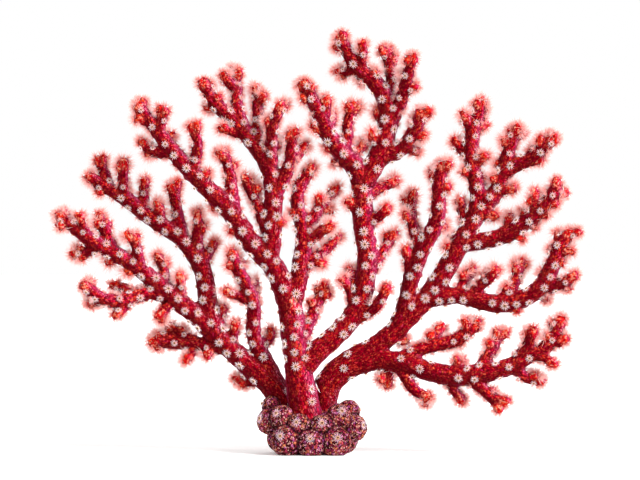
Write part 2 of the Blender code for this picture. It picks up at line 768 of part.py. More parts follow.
def main():
    remove_everything()
    coral = new_collection("red_finger_gorgonian")
    workshop = new_collection("workshop")
    red = flesh("red_flesh", (0.45, 0.015, 0.03), 0.6)
    crust = flesh("holdfast_crust", (0.28, 0.09, 0.11), 0.75)
    limbs = grow_limbs()
    starts = {name: parting(limbs, name) for name in BOUGHS}
    build_holdfast(limbs, crust, coral, workshop)
    for name in BOUGHS:
        build_bough(name, limbs, starts, red, coral, workshop)


main()
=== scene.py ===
"""Red finger gorgonian: a flat fan of knobbly red branches on a lumpy foot, with its polyps open.

The script follows the colony as it grew: the flesh of the boughs, the foot under them, the star
polyps along the stems and the fringe of small polyps on the fingers, and then the table it stands on.
"""

import math

import bmesh
import bpy
import numpy as np
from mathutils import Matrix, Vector


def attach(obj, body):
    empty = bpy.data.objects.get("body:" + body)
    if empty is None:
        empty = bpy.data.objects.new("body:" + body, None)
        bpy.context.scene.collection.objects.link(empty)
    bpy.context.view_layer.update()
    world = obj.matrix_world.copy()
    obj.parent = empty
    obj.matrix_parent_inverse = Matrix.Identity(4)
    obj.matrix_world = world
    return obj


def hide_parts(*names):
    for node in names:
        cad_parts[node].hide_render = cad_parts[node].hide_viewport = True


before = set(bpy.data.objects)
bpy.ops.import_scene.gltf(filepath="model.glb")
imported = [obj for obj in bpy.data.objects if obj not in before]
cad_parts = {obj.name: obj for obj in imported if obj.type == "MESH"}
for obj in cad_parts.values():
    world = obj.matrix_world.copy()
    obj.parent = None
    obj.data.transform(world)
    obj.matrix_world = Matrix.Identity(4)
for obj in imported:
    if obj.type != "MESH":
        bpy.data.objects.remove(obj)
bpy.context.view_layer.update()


# The boughs' flesh.
# A gorgonian's branches are a horny core under a thick red rind, which is stiff with tiny spicules.
# It grows as one piece. Every bough, twig and knob is a tapering limb, and they melt into each other
# at their forks. The whole fan is one skin, parted between the boughs where one grows out of another.

COLONY_HEIGHT = 0.300
STEPS_HIGH = 428
STEP = COLONY_HEIGHT / STEPS_HIGH
MM = 0.001

# What every bough carries: its thickness at root and tip, and what each step of its length adds at
# the root, in grid steps. It swings by a share of its length, the first to the back (1) or front (-1).
SIDE_LIMBS = {
    "twigs": {"root": 7.4, "root_per_length": 0.075, "tip": 7.6, "swing": 0.26, "first_turn": 1},
    "knobs": {"root": 6.8, "root_per_length": 0.0, "tip": 7.2, "swing": 0.30, "first_turn": -1},
}

# Each bough: what it grows from, how far back its tip leans (millimetres), its thickness from root
# to tip (grid steps), its route (steps to the right of the foot's middle, and up from the table),
# and the routes of the twigs and knobs that it carries.
BOUGHS = {
    "trunk": {
        "from": "holdfast", "lean": (-7, -3), "thick": (31, 26, 23, 21, 20),
        "route": [(-5, 24), (-9, 51), (-13, 75), (-15, 96), (-19, 117), (-21, 137), (-22, 153)],
        "twigs": [[(-12, 111), (-5, 128), (2, 143), (8, 158), (13, 170)]],
        "knobs": [[(3, 146), (-2, 154)], [(8, 157), (5, 167)], [(8, 155), (17, 162)]],
    },
    "great_left_bough": {
        "from": "trunk", "lean": -12, "thick": (20, 18, 17, 16, 14, 12, 9),
        "route": [(-21, 141), (-28, 163), (-36, 183), (-47, 197), (-60, 210), (-72, 228), (-86, 248),
            (-101, 262), (-114, 275), (-130, 292), (-145, 310), (-156, 325), (-166, 338), (-176, 351)],
        "twigs": [[(-78, 240), (-81, 263), (-83, 283), (-89, 305)],
            [(-119, 283), (-115, 303), (-116, 318), (-122, 330)],
            [(-142, 302), (-157, 302), (-165, 306), (-172, 314)], [(-154, 323), (-150, 336), (-152, 347)]],
        "knobs": [[(-86, 293), (-95, 302)], [(-83, 281), (-78, 290)], [(-117, 320), (-115, 332)],
            [(-160, 302), (-165, 298)], [(-150, 336), (-145, 346)], [(-170, 343), (-169, 355)],
            [(-164, 333), (-177, 336)], [(-147, 312), (-140, 321)], [(-111, 273), (-103, 283)],
            [(-88, 248), (-100, 247)], [(-72, 225), (-83, 224)]],
    },
    "left_crown": {
        "from": "great_left_bough", "lean": 10, "thick": (17, 16, 15, 15, 13, 12, 9),
        "route": [(-44, 195), (-41, 213), (-40, 233), (-39, 253), (-40, 270), (-43, 285), (-51, 300),
            (-62, 314), (-73, 327), (-85, 339), (-98, 351), (-105, 363), (-111, 374)],
        "twigs": [[(-43, 221), (-51, 240), (-59, 258), (-69, 279)], [(-74, 321), (-84, 324), (-93, 327)],
            [(-54, 309), (-54, 335), (-55, 350), (-57, 368)],
            [(-42, 285), (-41, 310), (-40, 326), (-35, 340), (-31, 352)],
            [(-65, 317), (-72, 333), (-76, 351), (-76, 368), (-80, 387)],
            [(-77, 363), (-84, 372), (-90, 381)]],
        "knobs": [[(-59, 258), (-54, 267)], [(-63, 267), (-60, 275)], [(-54, 348), (-48, 361)],
            [(-33, 343), (-25, 351)], [(-41, 323), (-45, 336)], [(-40, 303), (-33, 310)],
            [(-76, 373), (-74, 384)], [(-105, 361), (-103, 371)], [(-98, 350), (-94, 359)],
            [(-96, 347), (-107, 345)], [(-41, 225), (-28, 234)]],
    },
    "left_crown_side": {
        "from": "left_crown", "lean": -4, "thick": (13, 11, 10, 9),
        "route": [(-37, 261), (-28, 278), (-22, 293), (-21, 307), (-22, 323)],
        "twigs": [[(-22, 291), (-13, 301), (-5, 311)]],
        "knobs": [[(-20, 313), (-16, 325)]],
    },
    "middle_spray": {
        "from": "trunk", "lean": 7, "thick": (17, 14, 14, 12, 11, 9),
        "route": [(-20, 151), (-14, 173), (-12, 191), (-9, 210), (-10, 225), (-14, 243), (-15, 257),
            (-11, 271), (-5, 280), (1, 288)],
        "twigs": [[(-9, 221), (1, 236), (9, 248), (17, 257), (26, 267)], [(-7, 209), (5, 220), (20, 230)],
            [(-10, 183), (2, 196), (14, 205), (27, 219)]],
        "knobs": [[(7, 245), (7, 258)], [(9, 243), (19, 244)], [(1, 193), (12, 190)],
            [(-14, 263), (-19, 272)], [(-14, 237), (-22, 242)]],
    },
    "tall_bough": {
        "from": "trunk", "lean": 3, "thick": (19, 18, 17, 17, 18, 18),
        "route": [(-9, 87), (5, 103), (21, 117), (35, 131), (45, 146), (51, 163), (54, 183), (55, 203),
            (52, 223), (50, 243), (50, 260), (49, 275)],
        "twigs": [[(41, 151), (38, 168), (37, 187)], [(40, 135), (54, 141), (65, 150), (76, 169)],
            [(56, 181), (67, 198), (76, 211), (84, 223)], [(54, 227), (64, 236), (71, 242), (76, 249)],
            [(54, 258), (65, 265), (75, 269), (85, 275)], [(48, 241), (39, 249), (34, 255)]],
        "knobs": [[(38, 163), (29, 176)], [(77, 210), (74, 220)]],
    },
    "crown_left": {
        "from": "tall_bough", "lean": -12, "thick": (18, 17, 14, 12, 9),
        "route": [(50, 270), (43, 287), (33, 298), (23, 309), (15, 322), (9, 336), (3, 349), (-4, 362),
            (-9, 374)],
        "twigs": [[(33, 300), (35, 315), (36, 331), (41, 351)], [(12, 329), (13, 343), (14, 358)],
            [(15, 322), (19, 333), (20, 344)], [(18, 316), (8, 323), (-1, 329)],
            [(33, 300), (46, 304), (53, 313)]],
        "knobs": [[(39, 341), (34, 349)], [(40, 341), (47, 348)], [(23, 305), (12, 306)],
            [(33, 291), (20, 291)], [(-4, 358), (-11, 355)], [(-7, 366), (-14, 369)], [(-3, 360), (0, 369)]],
    },
    "crown_right": {
        "from": "tall_bough", "lean": 8, "thick": (18, 18, 17, 15, 12, 9),
        "route": [(50, 270), (60, 287), (68, 301), (72, 315), (76, 333), (76, 348), (70, 361), (60, 374),
            (48, 384), (39, 395), (33, 406), (26, 419)],
        "twigs": [[(76, 337), (80, 355), (80, 373), (77, 388), (76, 408)],
            [(79, 333), (88, 353), (93, 369), (97, 385), (101, 400)],
            [(51, 381), (40, 383), (30, 382), (23, 384)], [(49, 385), (50, 399), (50, 412)],
            [(76, 331), (68, 337), (64, 345)], [(72, 305), (63, 314), (58, 323)]],
        "knobs": [[(75, 395), (69, 406)], [(78, 387), (83, 398)], [(97, 387), (94, 397)],
            [(93, 371), (90, 383)], [(92, 361), (104, 369)], [(32, 382), (29, 377)], [(30, 411), (31, 422)],
            [(34, 403), (22, 408)], [(61, 373), (62, 384)], [(57, 374), (46, 373)]],
    },
    "crown_side": {
        "from": "crown_right", "lean": -8, "thick": (15, 13, 11, 9),
        "route": [(69, 297), (81, 301), (92, 308), (99, 319), (106, 332), (109, 345)],
        "twigs": [[(94, 309), (100, 304), (108, 303)]],
        "knobs": [[(107, 335), (118, 344)], [(102, 325), (102, 336)], [(101, 317), (113, 319)]],
    },
    "left_bough": {
        "from": "holdfast", "lean": (11, -8), "thick": (25, 20, 17, 17, 15, 13, 12, 9),
        "route": [(-24, 41), (-40, 67), (-67, 91), (-90, 112), (-116, 138), (-142, 159), (-169, 182),
            (-194, 199), (-218, 212), (-240, 229), (-255, 241)],
        "twigs": [[(-52, 73), (-64, 72), (-79, 74)], [(-81, 113), (-78, 124), (-76, 132)],
            [(-93, 128), (-91, 139), (-89, 148)], [(-131, 153), (-132, 166), (-132, 180)],
            [(-146, 163), (-149, 183), (-152, 193), (-156, 200)], [(-171, 185), (-175, 203), (-177, 220)],
            [(-200, 205), (-206, 221), (-212, 233), (-213, 241)], [(-225, 217), (-229, 229), (-233, 241)],
            [(-212, 207), (-222, 204), (-231, 200), (-241, 200)], [(-140, 154), (-148, 144), (-156, 136)]],
        "knobs": [[(-66, 72), (-72, 67)], [(-149, 183), (-146, 192)], [(-176, 210), (-186, 221)],
            [(-209, 225), (-204, 232)], [(-212, 227), (-217, 232)], [(-225, 203), (-234, 207)],
            [(-228, 200), (-232, 195)], [(-244, 233), (-249, 243)], [(-244, 231), (-254, 228)],
            [(-196, 198), (-206, 192)], [(-177, 187), (-187, 181)], [(-151, 139), (-152, 133)],
            [(-99, 108), (-107, 96)]],
    },
    "left_under_spray": {
        "from": "left_bough", "lean": -14, "thick": (13, 12, 11, 9),
        "route": [(-146, 158), (-162, 162), (-176, 158), (-190, 154), (-204, 154), (-215, 159), (-224, 166),
            (-230, 171)],
        "twigs": [[(-174, 159), (-184, 164), (-193, 167), (-201, 170)],
            [(-184, 152), (-190, 145), (-198, 138)], [(-208, 155), (-217, 152), (-225, 153)]],
        "knobs": [[(-220, 152), (-219, 147)], [(-220, 163), (-222, 174)]],
    },
    "left_low_spray": {
        "from": "left_bough", "lean": 14, "thick": (14, 12, 11, 9),
        "route": [(-86, 106), (-99, 109), (-114, 109), (-130, 110), (-146, 111), (-163, 111)],
        "twigs": [[(-115, 110), (-126, 116), (-137, 122), (-148, 129)],
            [(-117, 108), (-122, 100), (-128, 91)], [(-138, 112), (-148, 116), (-158, 118)]],
        "knobs": [[(-134, 120), (-129, 125)], [(-152, 110), (-157, 104)]],
    },
    "left_upper_bough": {
        "from": "left_bough", "lean": 13, "thick": (18, 16, 15, 14, 13, 12, 9),
        "route": [(-99, 121), (-104, 143), (-106, 163), (-109, 180), (-115, 194), (-125, 208), (-136, 219),
            (-152, 229), (-169, 241), (-185, 253), (-200, 263), (-214, 270), (-227, 279)],
        "twigs": [[(-108, 193), (-103, 203), (-97, 213)], [(-116, 203), (-115, 223), (-115, 244)],
            [(-130, 219), (-135, 238), (-138, 255), (-143, 269)], [(-151, 231), (-153, 242), (-155, 252)],
            [(-168, 243), (-169, 260), (-168, 275)], [(-187, 256), (-190, 275), (-188, 294)],
            [(-204, 265), (-209, 281), (-216, 295)]],
        "knobs": [[(-114, 221), (-108, 229)], [(-137, 258), (-135, 273)], [(-190, 281), (-194, 290)],
            [(-211, 287), (-209, 297)], [(-209, 265), (-215, 260)]],
    },
    "inner_left_bough": {
        "from": "left_bough", "lean": -6, "thick": (18, 14, 12, 11, 9),
        "route": [(-36, 66), (-46, 88), (-54, 105), (-59, 121), (-59, 137), (-59, 150), (-64, 164),
            (-71, 178), (-77, 191), (-81, 204)],
        "twigs": [[(-55, 108), (-44, 114), (-41, 125)], [(-63, 153), (-72, 158), (-80, 160), (-88, 164)],
            [(-57, 151), (-58, 163), (-58, 174)]],
        "knobs": [[(-76, 186), (-85, 191)], [(-74, 187), (-69, 194)]],
    },
    "right_bough": {
        "from": "holdfast", "lean": (9, 11), "thick": (21, 18, 17, 17, 17, 17, 16, 14, 12, 9),
        "route": [(14, 39), (11, 57), (14, 71), (26, 85), (41, 96), (56, 103), (70, 112), (83, 123),
            (96, 136), (108, 149), (120, 163), (130, 178), (138, 192), (145, 205), (153, 219), (162, 234),
            (174, 249), (184, 262), (190, 275), (193, 288), (196, 301), (200, 313), (201, 326)],
        "twigs": [[(81, 117), (89, 113), (96, 113)], [(170, 240), (178, 237), (186, 239)],
            [(155, 223), (151, 241), (147, 256)], [(186, 263), (195, 263), (204, 267)]],
        "knobs": [[(143, 203), (133, 208)], [(148, 210), (138, 219)], [(189, 268), (180, 277)],
            [(192, 286), (184, 291)], [(200, 315), (207, 328)], [(200, 313), (213, 323)],
            [(196, 305), (191, 316)]],
    },
    "right_mid_bough": {
        "from": "right_bough", "lean": -9, "thick": (16, 15, 14, 14, 13, 12, 9),
        "route": [(82, 122), (90, 138), (95, 155), (98, 172), (103, 188), (109, 203), (117, 218),
            (124, 234), (126, 250), (126, 265), (128, 279), (130, 293)],
        "twigs": [[(108, 201), (104, 217), (100, 231), (99, 246), (101, 263)],
            [(99, 178), (96, 193), (93, 207)], [(126, 267), (122, 276), (118, 284)]],
        "knobs": [[(99, 230), (92, 241)], [(99, 245), (92, 255)], [(128, 281), (138, 293)],
            [(123, 223), (134, 230)], [(127, 261), (137, 269)]],
    },
    "right_low_bough": {
        "from": "right_bough", "lean": -11, "thick": (17, 15, 15, 17, 17, 16, 14, 12, 9),
        "route": [(15, 53), (19, 67), (29, 78), (42, 86), (58, 91), (75, 94), (90, 91), (106, 86),
            (124, 81), (144, 78), (163, 80), (183, 83), (201, 90), (217, 99), (231, 106), (240, 116),
            (245, 127), (249, 138)],
        "twigs": [[(82, 92), (77, 79), (75, 66)], [(86, 89), (94, 75), (103, 63), (119, 56)],
            [(135, 76), (141, 65), (151, 51)], [(155, 76), (168, 67), (180, 56), (196, 53)],
            [(202, 87), (213, 77), (231, 72)], [(222, 100), (233, 96), (242, 89)],
            [(165, 82), (176, 99), (183, 111), (185, 124)], [(202, 91), (211, 104), (218, 116), (221, 128)],
            [(143, 80), (146, 89), (151, 95)], [(237, 111), (246, 112), (254, 117)]],
        "knobs": [[(72, 79), (67, 72)], [(108, 60), (115, 49)], [(180, 56), (187, 43)],
            [(174, 62), (182, 63)], [(215, 76), (224, 79)], [(185, 113), (195, 123)],
            [(180, 104), (176, 113)], [(217, 113), (213, 124)], [(146, 88), (144, 96)],
            [(244, 124), (239, 133)], [(239, 113), (233, 119)]],
    },
    "right_low_upper": {
        "from": "right_low_bough", "lean": 6, "thick": (13, 11, 11, 9),
        "route": [(86, 92), (99, 100), (112, 106), (126, 109), (140, 112), (152, 119), (161, 126),
            (166, 134)],
        "twigs": [[(113, 106), (122, 117), (131, 129)], [(152, 119), (154, 126), (153, 134)]],
        "knobs": [[(119, 113), (118, 121)], [(140, 112), (149, 110)]],
    },
    "right_side_bough": {
        "from": "right_bough", "lean": -3, "thick": (15, 14, 15, 15, 14, 13, 9),
        "route": [(114, 155), (128, 156), (144, 158), (160, 155), (176, 151), (192, 150), (207, 154),
            (220, 160), (230, 170), (237, 182), (242, 194), (246, 206), (253, 215), (259, 224)],
        "twigs": [[(144, 160), (153, 172), (162, 186)], [(157, 157), (169, 169), (178, 177), (185, 187)],
            [(188, 153), (200, 166), (206, 181), (209, 194)],
            [(228, 165), (240, 167), (252, 173), (264, 180)], [(246, 204), (246, 213), (245, 223)]],
        "knobs": [[(153, 172), (151, 181)], [(173, 172), (174, 181)], [(206, 178), (202, 189)],
            [(207, 184), (214, 191)], [(197, 161), (192, 168)], [(246, 169), (258, 166)],
            [(256, 218), (268, 223)], [(225, 161), (236, 153)], [(199, 149), (206, 143)],
            [(243, 199), (238, 207)], [(247, 203), (261, 203)], [(235, 177), (228, 182)],
            [(241, 190), (251, 193)]],
    },
    "right_spire": {
        "from": "right_bough", "lean": 17, "thick": (15, 13, 13, 13, 12, 9),
        "route": [(152, 215), (160, 233), (165, 250), (165, 267), (161, 283), (159, 298), (160, 313),
            (161, 327), (166, 340), (171, 355)],
        "twigs": [[(158, 297), (149, 305), (141, 315)], [(160, 323), (155, 332), (151, 341)],
            [(162, 322), (169, 327), (175, 331)], [(162, 287), (169, 295), (175, 300)]],
        "knobs": [[(160, 277), (150, 284)], [(165, 267), (174, 276)], [(166, 340), (165, 353)],
            [(167, 340), (174, 346)]],
    },
    "right_fan": {
        "from": "right_bough", "lean": 2, "thick": (13, 12, 11, 9),
        "route": [(192, 281), (204, 289), (217, 294), (228, 303), (237, 311), (244, 318)],
        "twigs": [],
        "knobs": [[(229, 304), (227, 317)], [(236, 310), (235, 321)], [(216, 293), (230, 294)],
            [(222, 298), (219, 306)]],
    },
    "right_arm": {
        "from": "right_bough", "lean": -5, "thick": (15, 14, 14, 13, 11, 9),
        "route": [(150, 210), (166, 212), (182, 215), (196, 220), (208, 228), (220, 237), (231, 247),
            (238, 257), (243, 266), (244, 275)],
        "twigs": [[(195, 220), (196, 231), (199, 240)], [(222, 239), (221, 253), (223, 264)],
            [(238, 256), (246, 259), (254, 262)]],
        "knobs": [[(221, 247), (216, 255)], [(214, 232), (210, 244)], [(235, 252), (245, 249)],
            [(239, 256), (233, 261)], [(226, 242), (235, 239)], [(214, 232), (225, 227)],
            [(201, 222), (211, 215)]],
    },
}


def limb(route, thick, depth_start, depth_end, kind):
    """A limb: its route's points in metres, its radius at each, and how far along each of them lies."""
    flat = np.array(route, float) * STEP
    along = np.concatenate([[0.0], np.cumsum(np.linalg.norm(np.diff(flat, axis=0), axis=1))])
    share = along / along[-1]
    depth = depth_start + (depth_end - depth_start) * share * share * (3 - 2 * share)
    points = np.column_stack([flat[:, 0], depth, flat[:, 1]])
    radii = np.interp(share * (len(thick) - 1), range(len(thick)), thick) * STEP / 2
    return {"points": points, "radii": radii, "along": along, "kind": kind}


def depth_beside(carriers, place):
    """How deep the limb lies that passes nearest to a place on the grid."""
    found = []
    for carrier in carriers:
        along = np.linspace(0, carrier["along"][-1], 81)
        x, y, z = (np.interp(along, carrier["along"], carrier["points"][:, k]) for k in range(3))
        away = np.hypot(x - place[0] * STEP, z - place[1] * STEP)
        found.append((away.min(), y[away.argmin()]))
    return min(found, key=lambda one: one[0])[1]


def grow(boughs):
    """The limbs of every bough: its own, and those of the twigs and knobs that it carries."""
    limbs = {}
    for name, bough in boughs.items():
        if bough["from"] == "holdfast":
            start, end = bough["lean"][0] * MM, bough["lean"][1] * MM
        else:
            start = depth_beside(limbs[bough["from"]][:1], bough["route"][0])
            end = bough["lean"] * MM
        own = [limb(bough["route"], bough["thick"], start, end, "bough")]
        for kind, size in SIDE_LIMBS.items():
            for i, route in enumerate(bough[kind]):
                depth = depth_beside([other for other in own if other["kind"] != "knobs"], route[0])
                turn = -size["first_turn"] if i % 2 else size["first_turn"]
                length = math.dist(route[0], route[-1])
                thick = (size["root"] + size["root_per_length"] * length, size["tip"])
                own.append(limb(route, thick, depth, depth + turn * size["swing"] * length * STEP, kind))
        limbs[name] = own
    return limbs


def curved(grown, spacing):
    """Points along a smooth curve through a limb's own points, with the radius at each."""
    points, radii, along = grown["points"], grown["radii"], grown["along"]
    ends = np.vstack([2 * points[0] - points[1], points, 2 * points[-1] - points[-2]])
    fine = []
    for i in range(len(points) - 1):
        before, here, there, after = ends[i : i + 4]
        count = max(2, int(np.linalg.norm(there - here) / spacing))
        for t in np.arange(count) / count:
            point = 0.5 * (2 * here + (there - before) * t
                           + (2 * before - 5 * here + 4 * there - after) * t**2
                           + (3 * here - before - 3 * there + after) * t**3)
            fine.append((*point, radii[i] + (radii[i + 1] - radii[i]) * t,
                         along[i] + (along[i + 1] - along[i]) * t))
    fine = np.array(fine + [(*points[-1], radii[-1], along[-1])])
    return fine[:, :3], fine[:, 3], fine[:, 4]


RING_CORNERS = 14
RING_SPACING = 1.5 * MM
SWELL = 1.13
SKIN_LOST_IN_SMOOTHING = 0.55 * MM
TIP_LOST_IN_SMOOTHING = 1.2 * MM
WAVER = 0.05
WAVER_LENGTH = 11 * MM
SHORT_WAVER = 0.37
WAVER_SHIFT = 2.4
TIP_RING_ANGLES = np.radians([0, 25, 48, 68, 85])


def rings_of(grown, phase):
    """A limb's rings, swollen and pinched a little along its length, and drawn in round the tip."""
    points, radii, along = curved(grown, RING_SPACING)
    radii = radii * SWELL + SKIN_LOST_IN_SMOOTHING
    turns = 2 * math.pi * along / WAVER_LENGTH
    radii = radii * (1 + WAVER * (np.sin(turns + phase) + np.sin(turns / SHORT_WAVER - phase)) / 2)
    tip_radius = radii[-1]
    towards = points[-1] - points[-2]
    towards /= np.linalg.norm(towards)
    keep = np.linalg.norm(points - points[-1], axis=1) > tip_radius
    keep[0] = True
    points, radii = points[keep], radii[keep]
    end = grown["points"][-1] + towards * TIP_LOST_IN_SMOOTHING
    for angle in TIP_RING_ANGLES:
        points = np.vstack([points, end - towards * tip_radius * (1 - math.sin(angle))])
        radii = np.append(radii, tip_radius * math.cos(angle))
    return points, radii


def tube(points, radii):
    """Corners and faces of a closed tube through the rings."""
    tangents = np.gradient(points, axis=0)
    tangents /= np.linalg.norm(tangents, axis=1)[:, None]
    side = np.cross(tangents, np.array([0.0, 1.0, 0.0]))
    side /= np.linalg.norm(side, axis=1)[:, None]
    other = np.cross(tangents, side)
    turn = np.arange(RING_CORNERS) * 2 * math.pi / RING_CORNERS
    across = side[:, None] * np.cos(turn)[None, :, None] + other[:, None] * np.sin(turn)[None, :, None]
    corners = (points[:, None] + across * radii[:, None, None]).reshape(-1, 3)
    last = (len(points) - 1) * RING_CORNERS
    faces = []
    for ring in range(0, last, RING_CORNERS):
        for k in range(RING_CORNERS):
            a, b = ring + k, ring + (k + 1) % RING_CORNERS
            faces.append((a, b, b + RING_CORNERS, a + RING_CORNERS))
    faces.append(tuple(range(RING_CORNERS))[::-1])
    faces.append(tuple(last + k for k in range(RING_CORNERS)))
    return corners, faces


def object_of(name, mesh):
    """An object at the origin from a mesh."""
    made = bpy.data.objects.new(name, mesh)
    bpy.context.scene.collection.objects.link(made)
    return made


def shaped(name, shape):
    """An object at the origin from what a bmesh holds, with its faces turned outwards."""
    bmesh.ops.recalc_face_normals(shape, faces=shape.faces)
    mesh = bpy.data.meshes.new(name)
    shape.to_mesh(mesh)
    shape.free()
    return object_of(name, mesh)


def settled(made):
    """Turns what an object's modifiers make of it into its own plain mesh."""
    graph = bpy.context.evaluated_depsgraph_get()
    mesh = bpy.data.meshes.new_from_object(made.evaluated_get(graph))
    made.modifiers.clear()
    made.data = mesh
    return made


SKIN_GRAIN = 0.98 * MM
FORK_SOFTENING = 7


def melted(made):
    """Melts overlapping limbs or lumps into one skin of small even faces, softened at the forks."""
    remesh = made.modifiers.new("one skin", "REMESH")
    remesh.mode = "VOXEL"
    remesh.voxel_size = SKIN_GRAIN
    soften = made.modifiers.new("soft forks", "SMOOTH")
    soften.factor = 0.5
    soften.iterations = FORK_SOFTENING
    return settled(made)


limbs = grow(BOUGHS)
corners, faces = [], []
placed = 0
for bough_index, own in enumerate(limbs.values()):
    for limb_index, grown in enumerate(own):
        more_corners, more_faces = tube(*rings_of(grown, WAVER_SHIFT * limb_index + bough_index))
        corners.append(more_corners)
        faces += [tuple(v + placed for v in face) for face in more_faces]
        placed += len(more_corners)
tubes = bpy.data.meshes.new("tubes")
tubes.from_pydata(np.vstack(corners).tolist(), [], faces)
shape = bmesh.new()
shape.from_mesh(tubes)
fan = melted(shaped("fan", shape))


def read(rows, field, width=1, kind=np.float32):
    """One field of a mesh's points, loops, faces or attribute, as an array."""
    values = np.empty(len(rows) * width, kind)
    rows.foreach_get(field, values)
    return values.reshape(-1, width) if width > 1 else values


def give(mesh, name, values, kind="FLOAT"):
    """Stores a value for each of a mesh's points under a name that materials and trees can read."""
    attribute = mesh.attributes.new(name, kind, "POINT")
    values = np.ascontiguousarray(values, np.int32 if kind == "INT" else np.float32)
    attribute.data.foreach_set("vector" if kind == "FLOAT_VECTOR" else "value", values.ravel())


NEARBY = 3 * MM
GRAIN_SHIFT = 50 * MM


def beside_limbs(places, limbs):
    """For each place on the skin: its bough, the distance to its limb's tip, the limb's radius there, and
    the place in the limb's own grain: across, across, and along it. The grain is shifted from limb to limb."""
    best = np.full(len(places), 1e9)
    bough_of = np.zeros(len(places), np.int32)
    to_tip, girth = np.zeros(len(places)), np.zeros(len(places))
    grain = np.zeros((len(places), 3))
    order = 0
    for bough_index, own in enumerate(limbs.values()):
        for grown in own:
            points, radii, along = curved(grown, NEARBY)
            reach = radii.max() + NEARBY
            inside = (places > points.min(0) - reach) & (places < points.max(0) + reach)
            near = np.flatnonzero(inside.all(axis=1))
            order += 1
            if len(near) == 0:
                continue
            spots = places[near]
            start, run = points[:-1], np.diff(points, axis=0)
            t = np.einsum("nsk,sk->ns", spots[:, None] - start[None], run) / np.einsum("sk,sk->s", run, run)
            t = np.clip(t, 0, 1)
            feet = start[None] + run[None] * t[..., None]
            away = np.linalg.norm(spots[:, None] - feet, axis=2)
            radius = radii[:-1][None] + np.diff(radii)[None] * t
            which = (away - radius).argmin(axis=1)
            rows = np.arange(len(near))
            skin = (away - radius)[rows, which]
            won = skin < best[near]
            rows, which, chosen = rows[won], which[won], near[won]
            best[chosen] = skin[won]
            bough_of[chosen] = bough_index
            here = along[:-1][which] + np.diff(along)[which] * t[rows, which]
            to_tip[chosen] = along[-1] - here
            girth[chosen] = radius[rows, which]
            offset = spots[rows] - feet[rows, which]
            tangent = run[which] / np.linalg.norm(run[which], axis=1)[:, None]
            side = np.cross(tangent, np.array([0.0, 1.0, 0.0]))
            side /= np.linalg.norm(side, axis=1)[:, None]
            grain[chosen, 0] = np.einsum("nk,nk->n", offset, side) + GRAIN_SHIFT * order
            grain[chosen, 1] = np.einsum("nk,nk->n", offset, np.cross(tangent, side))
            grain[chosen, 2] = here
    return bough_of, to_tip, girth, grain


def join(tree, made, links):
    """Links or sets a node's sockets. A node stands for its first output."""
    for socket, value in links.items():
        if isinstance(value, bpy.types.Node):
            value = value.outputs[0]
        if isinstance(value, bpy.types.NodeSocket):
            tree.links.new(value, made.inputs[socket])
        else:
            made.inputs[socket].default_value = value


def add(tree, kind, settings={}, links={}):
    """Adds a node to a tree, with its settings, a colour ramp's stops among them, and its sockets."""
    made = tree.nodes.new(kind)
    for name, value in settings.items():
        if name != "stops":
            setattr(made, name, value)
            continue
        while len(made.color_ramp.elements) < len(value):
            made.color_ramp.elements.new(0.5)
        for element, (place, colour) in zip(made.color_ramp.elements, value):
            element.position = place
            element.color = paint(colour)
    join(tree, made, links)
    return made


def new_tree(name, sizes):
    """An empty tree that takes a shape and named sizes and gives a shape, and its input's sockets."""
    tree = bpy.data.node_groups.new(name, "GeometryNodeTree")
    tree.interface.new_socket("Geometry", in_out="INPUT", socket_type="NodeSocketGeometry")
    for kind, labels in sizes.items():
        for label in labels:
            tree.interface.new_socket(label, in_out="INPUT", socket_type="NodeSocket" + kind)
    tree.interface.new_socket("Geometry", in_out="OUTPUT", socket_type="NodeSocketGeometry")
    return tree, add(tree, "NodeGroupInput").outputs


def grown_by(made, tree, values):
    """Runs a tree over an object with these sizes, and leaves the result as its plain mesh."""
    modifier = made.modifiers.new(tree.name, "NODES")
    modifier.node_group = tree
    for item in tree.interface.items_tree:
        if item.in_out == "INPUT" and item.name in values:
            modifier[item.identifier] = values[item.name]
    made.update_tag()
    bpy.context.view_layer.update()
    return settled(made)


def finished(tree, shape, material):
    """Ends a tree: everything made real, and given its material."""
    real = add(tree, "GeometryNodeRealizeInstances", {}, {"Geometry": shape})
    painted = add(tree, "GeometryNodeSetMaterial", {}, {"Geometry": real, "Material": material})
    add(tree, "NodeGroupOutput", {}, {0: painted})
    return tree


def polyp_spots(tree, given):
    """Seeded spots on a skin, a set distance apart, where the skin's own room for polyps allows."""
    room = add(tree, "GeometryNodeInputNamedAttribute", {"data_type": "FLOAT"}, {"Name": given["Room"]})
    some = add(tree, "FunctionNodeCompare", {"data_type": "FLOAT", "operation": "GREATER_THAN"}, {
        0: room, 1: 0.02})
    roomy = add(tree, "GeometryNodeSeparateGeometry", {"domain": "POINT"}, {
        "Geometry": given["Geometry"], "Selection": some})
    return add(tree, "GeometryNodeDistributePointsOnFaces", {"distribute_method": "POISSON"}, {
        "Mesh": roomy, "Distance Min": given["Spacing"], "Density Max": given["Crowding"],
        "Density Factor": room, "Seed": given["Seed"]}).outputs


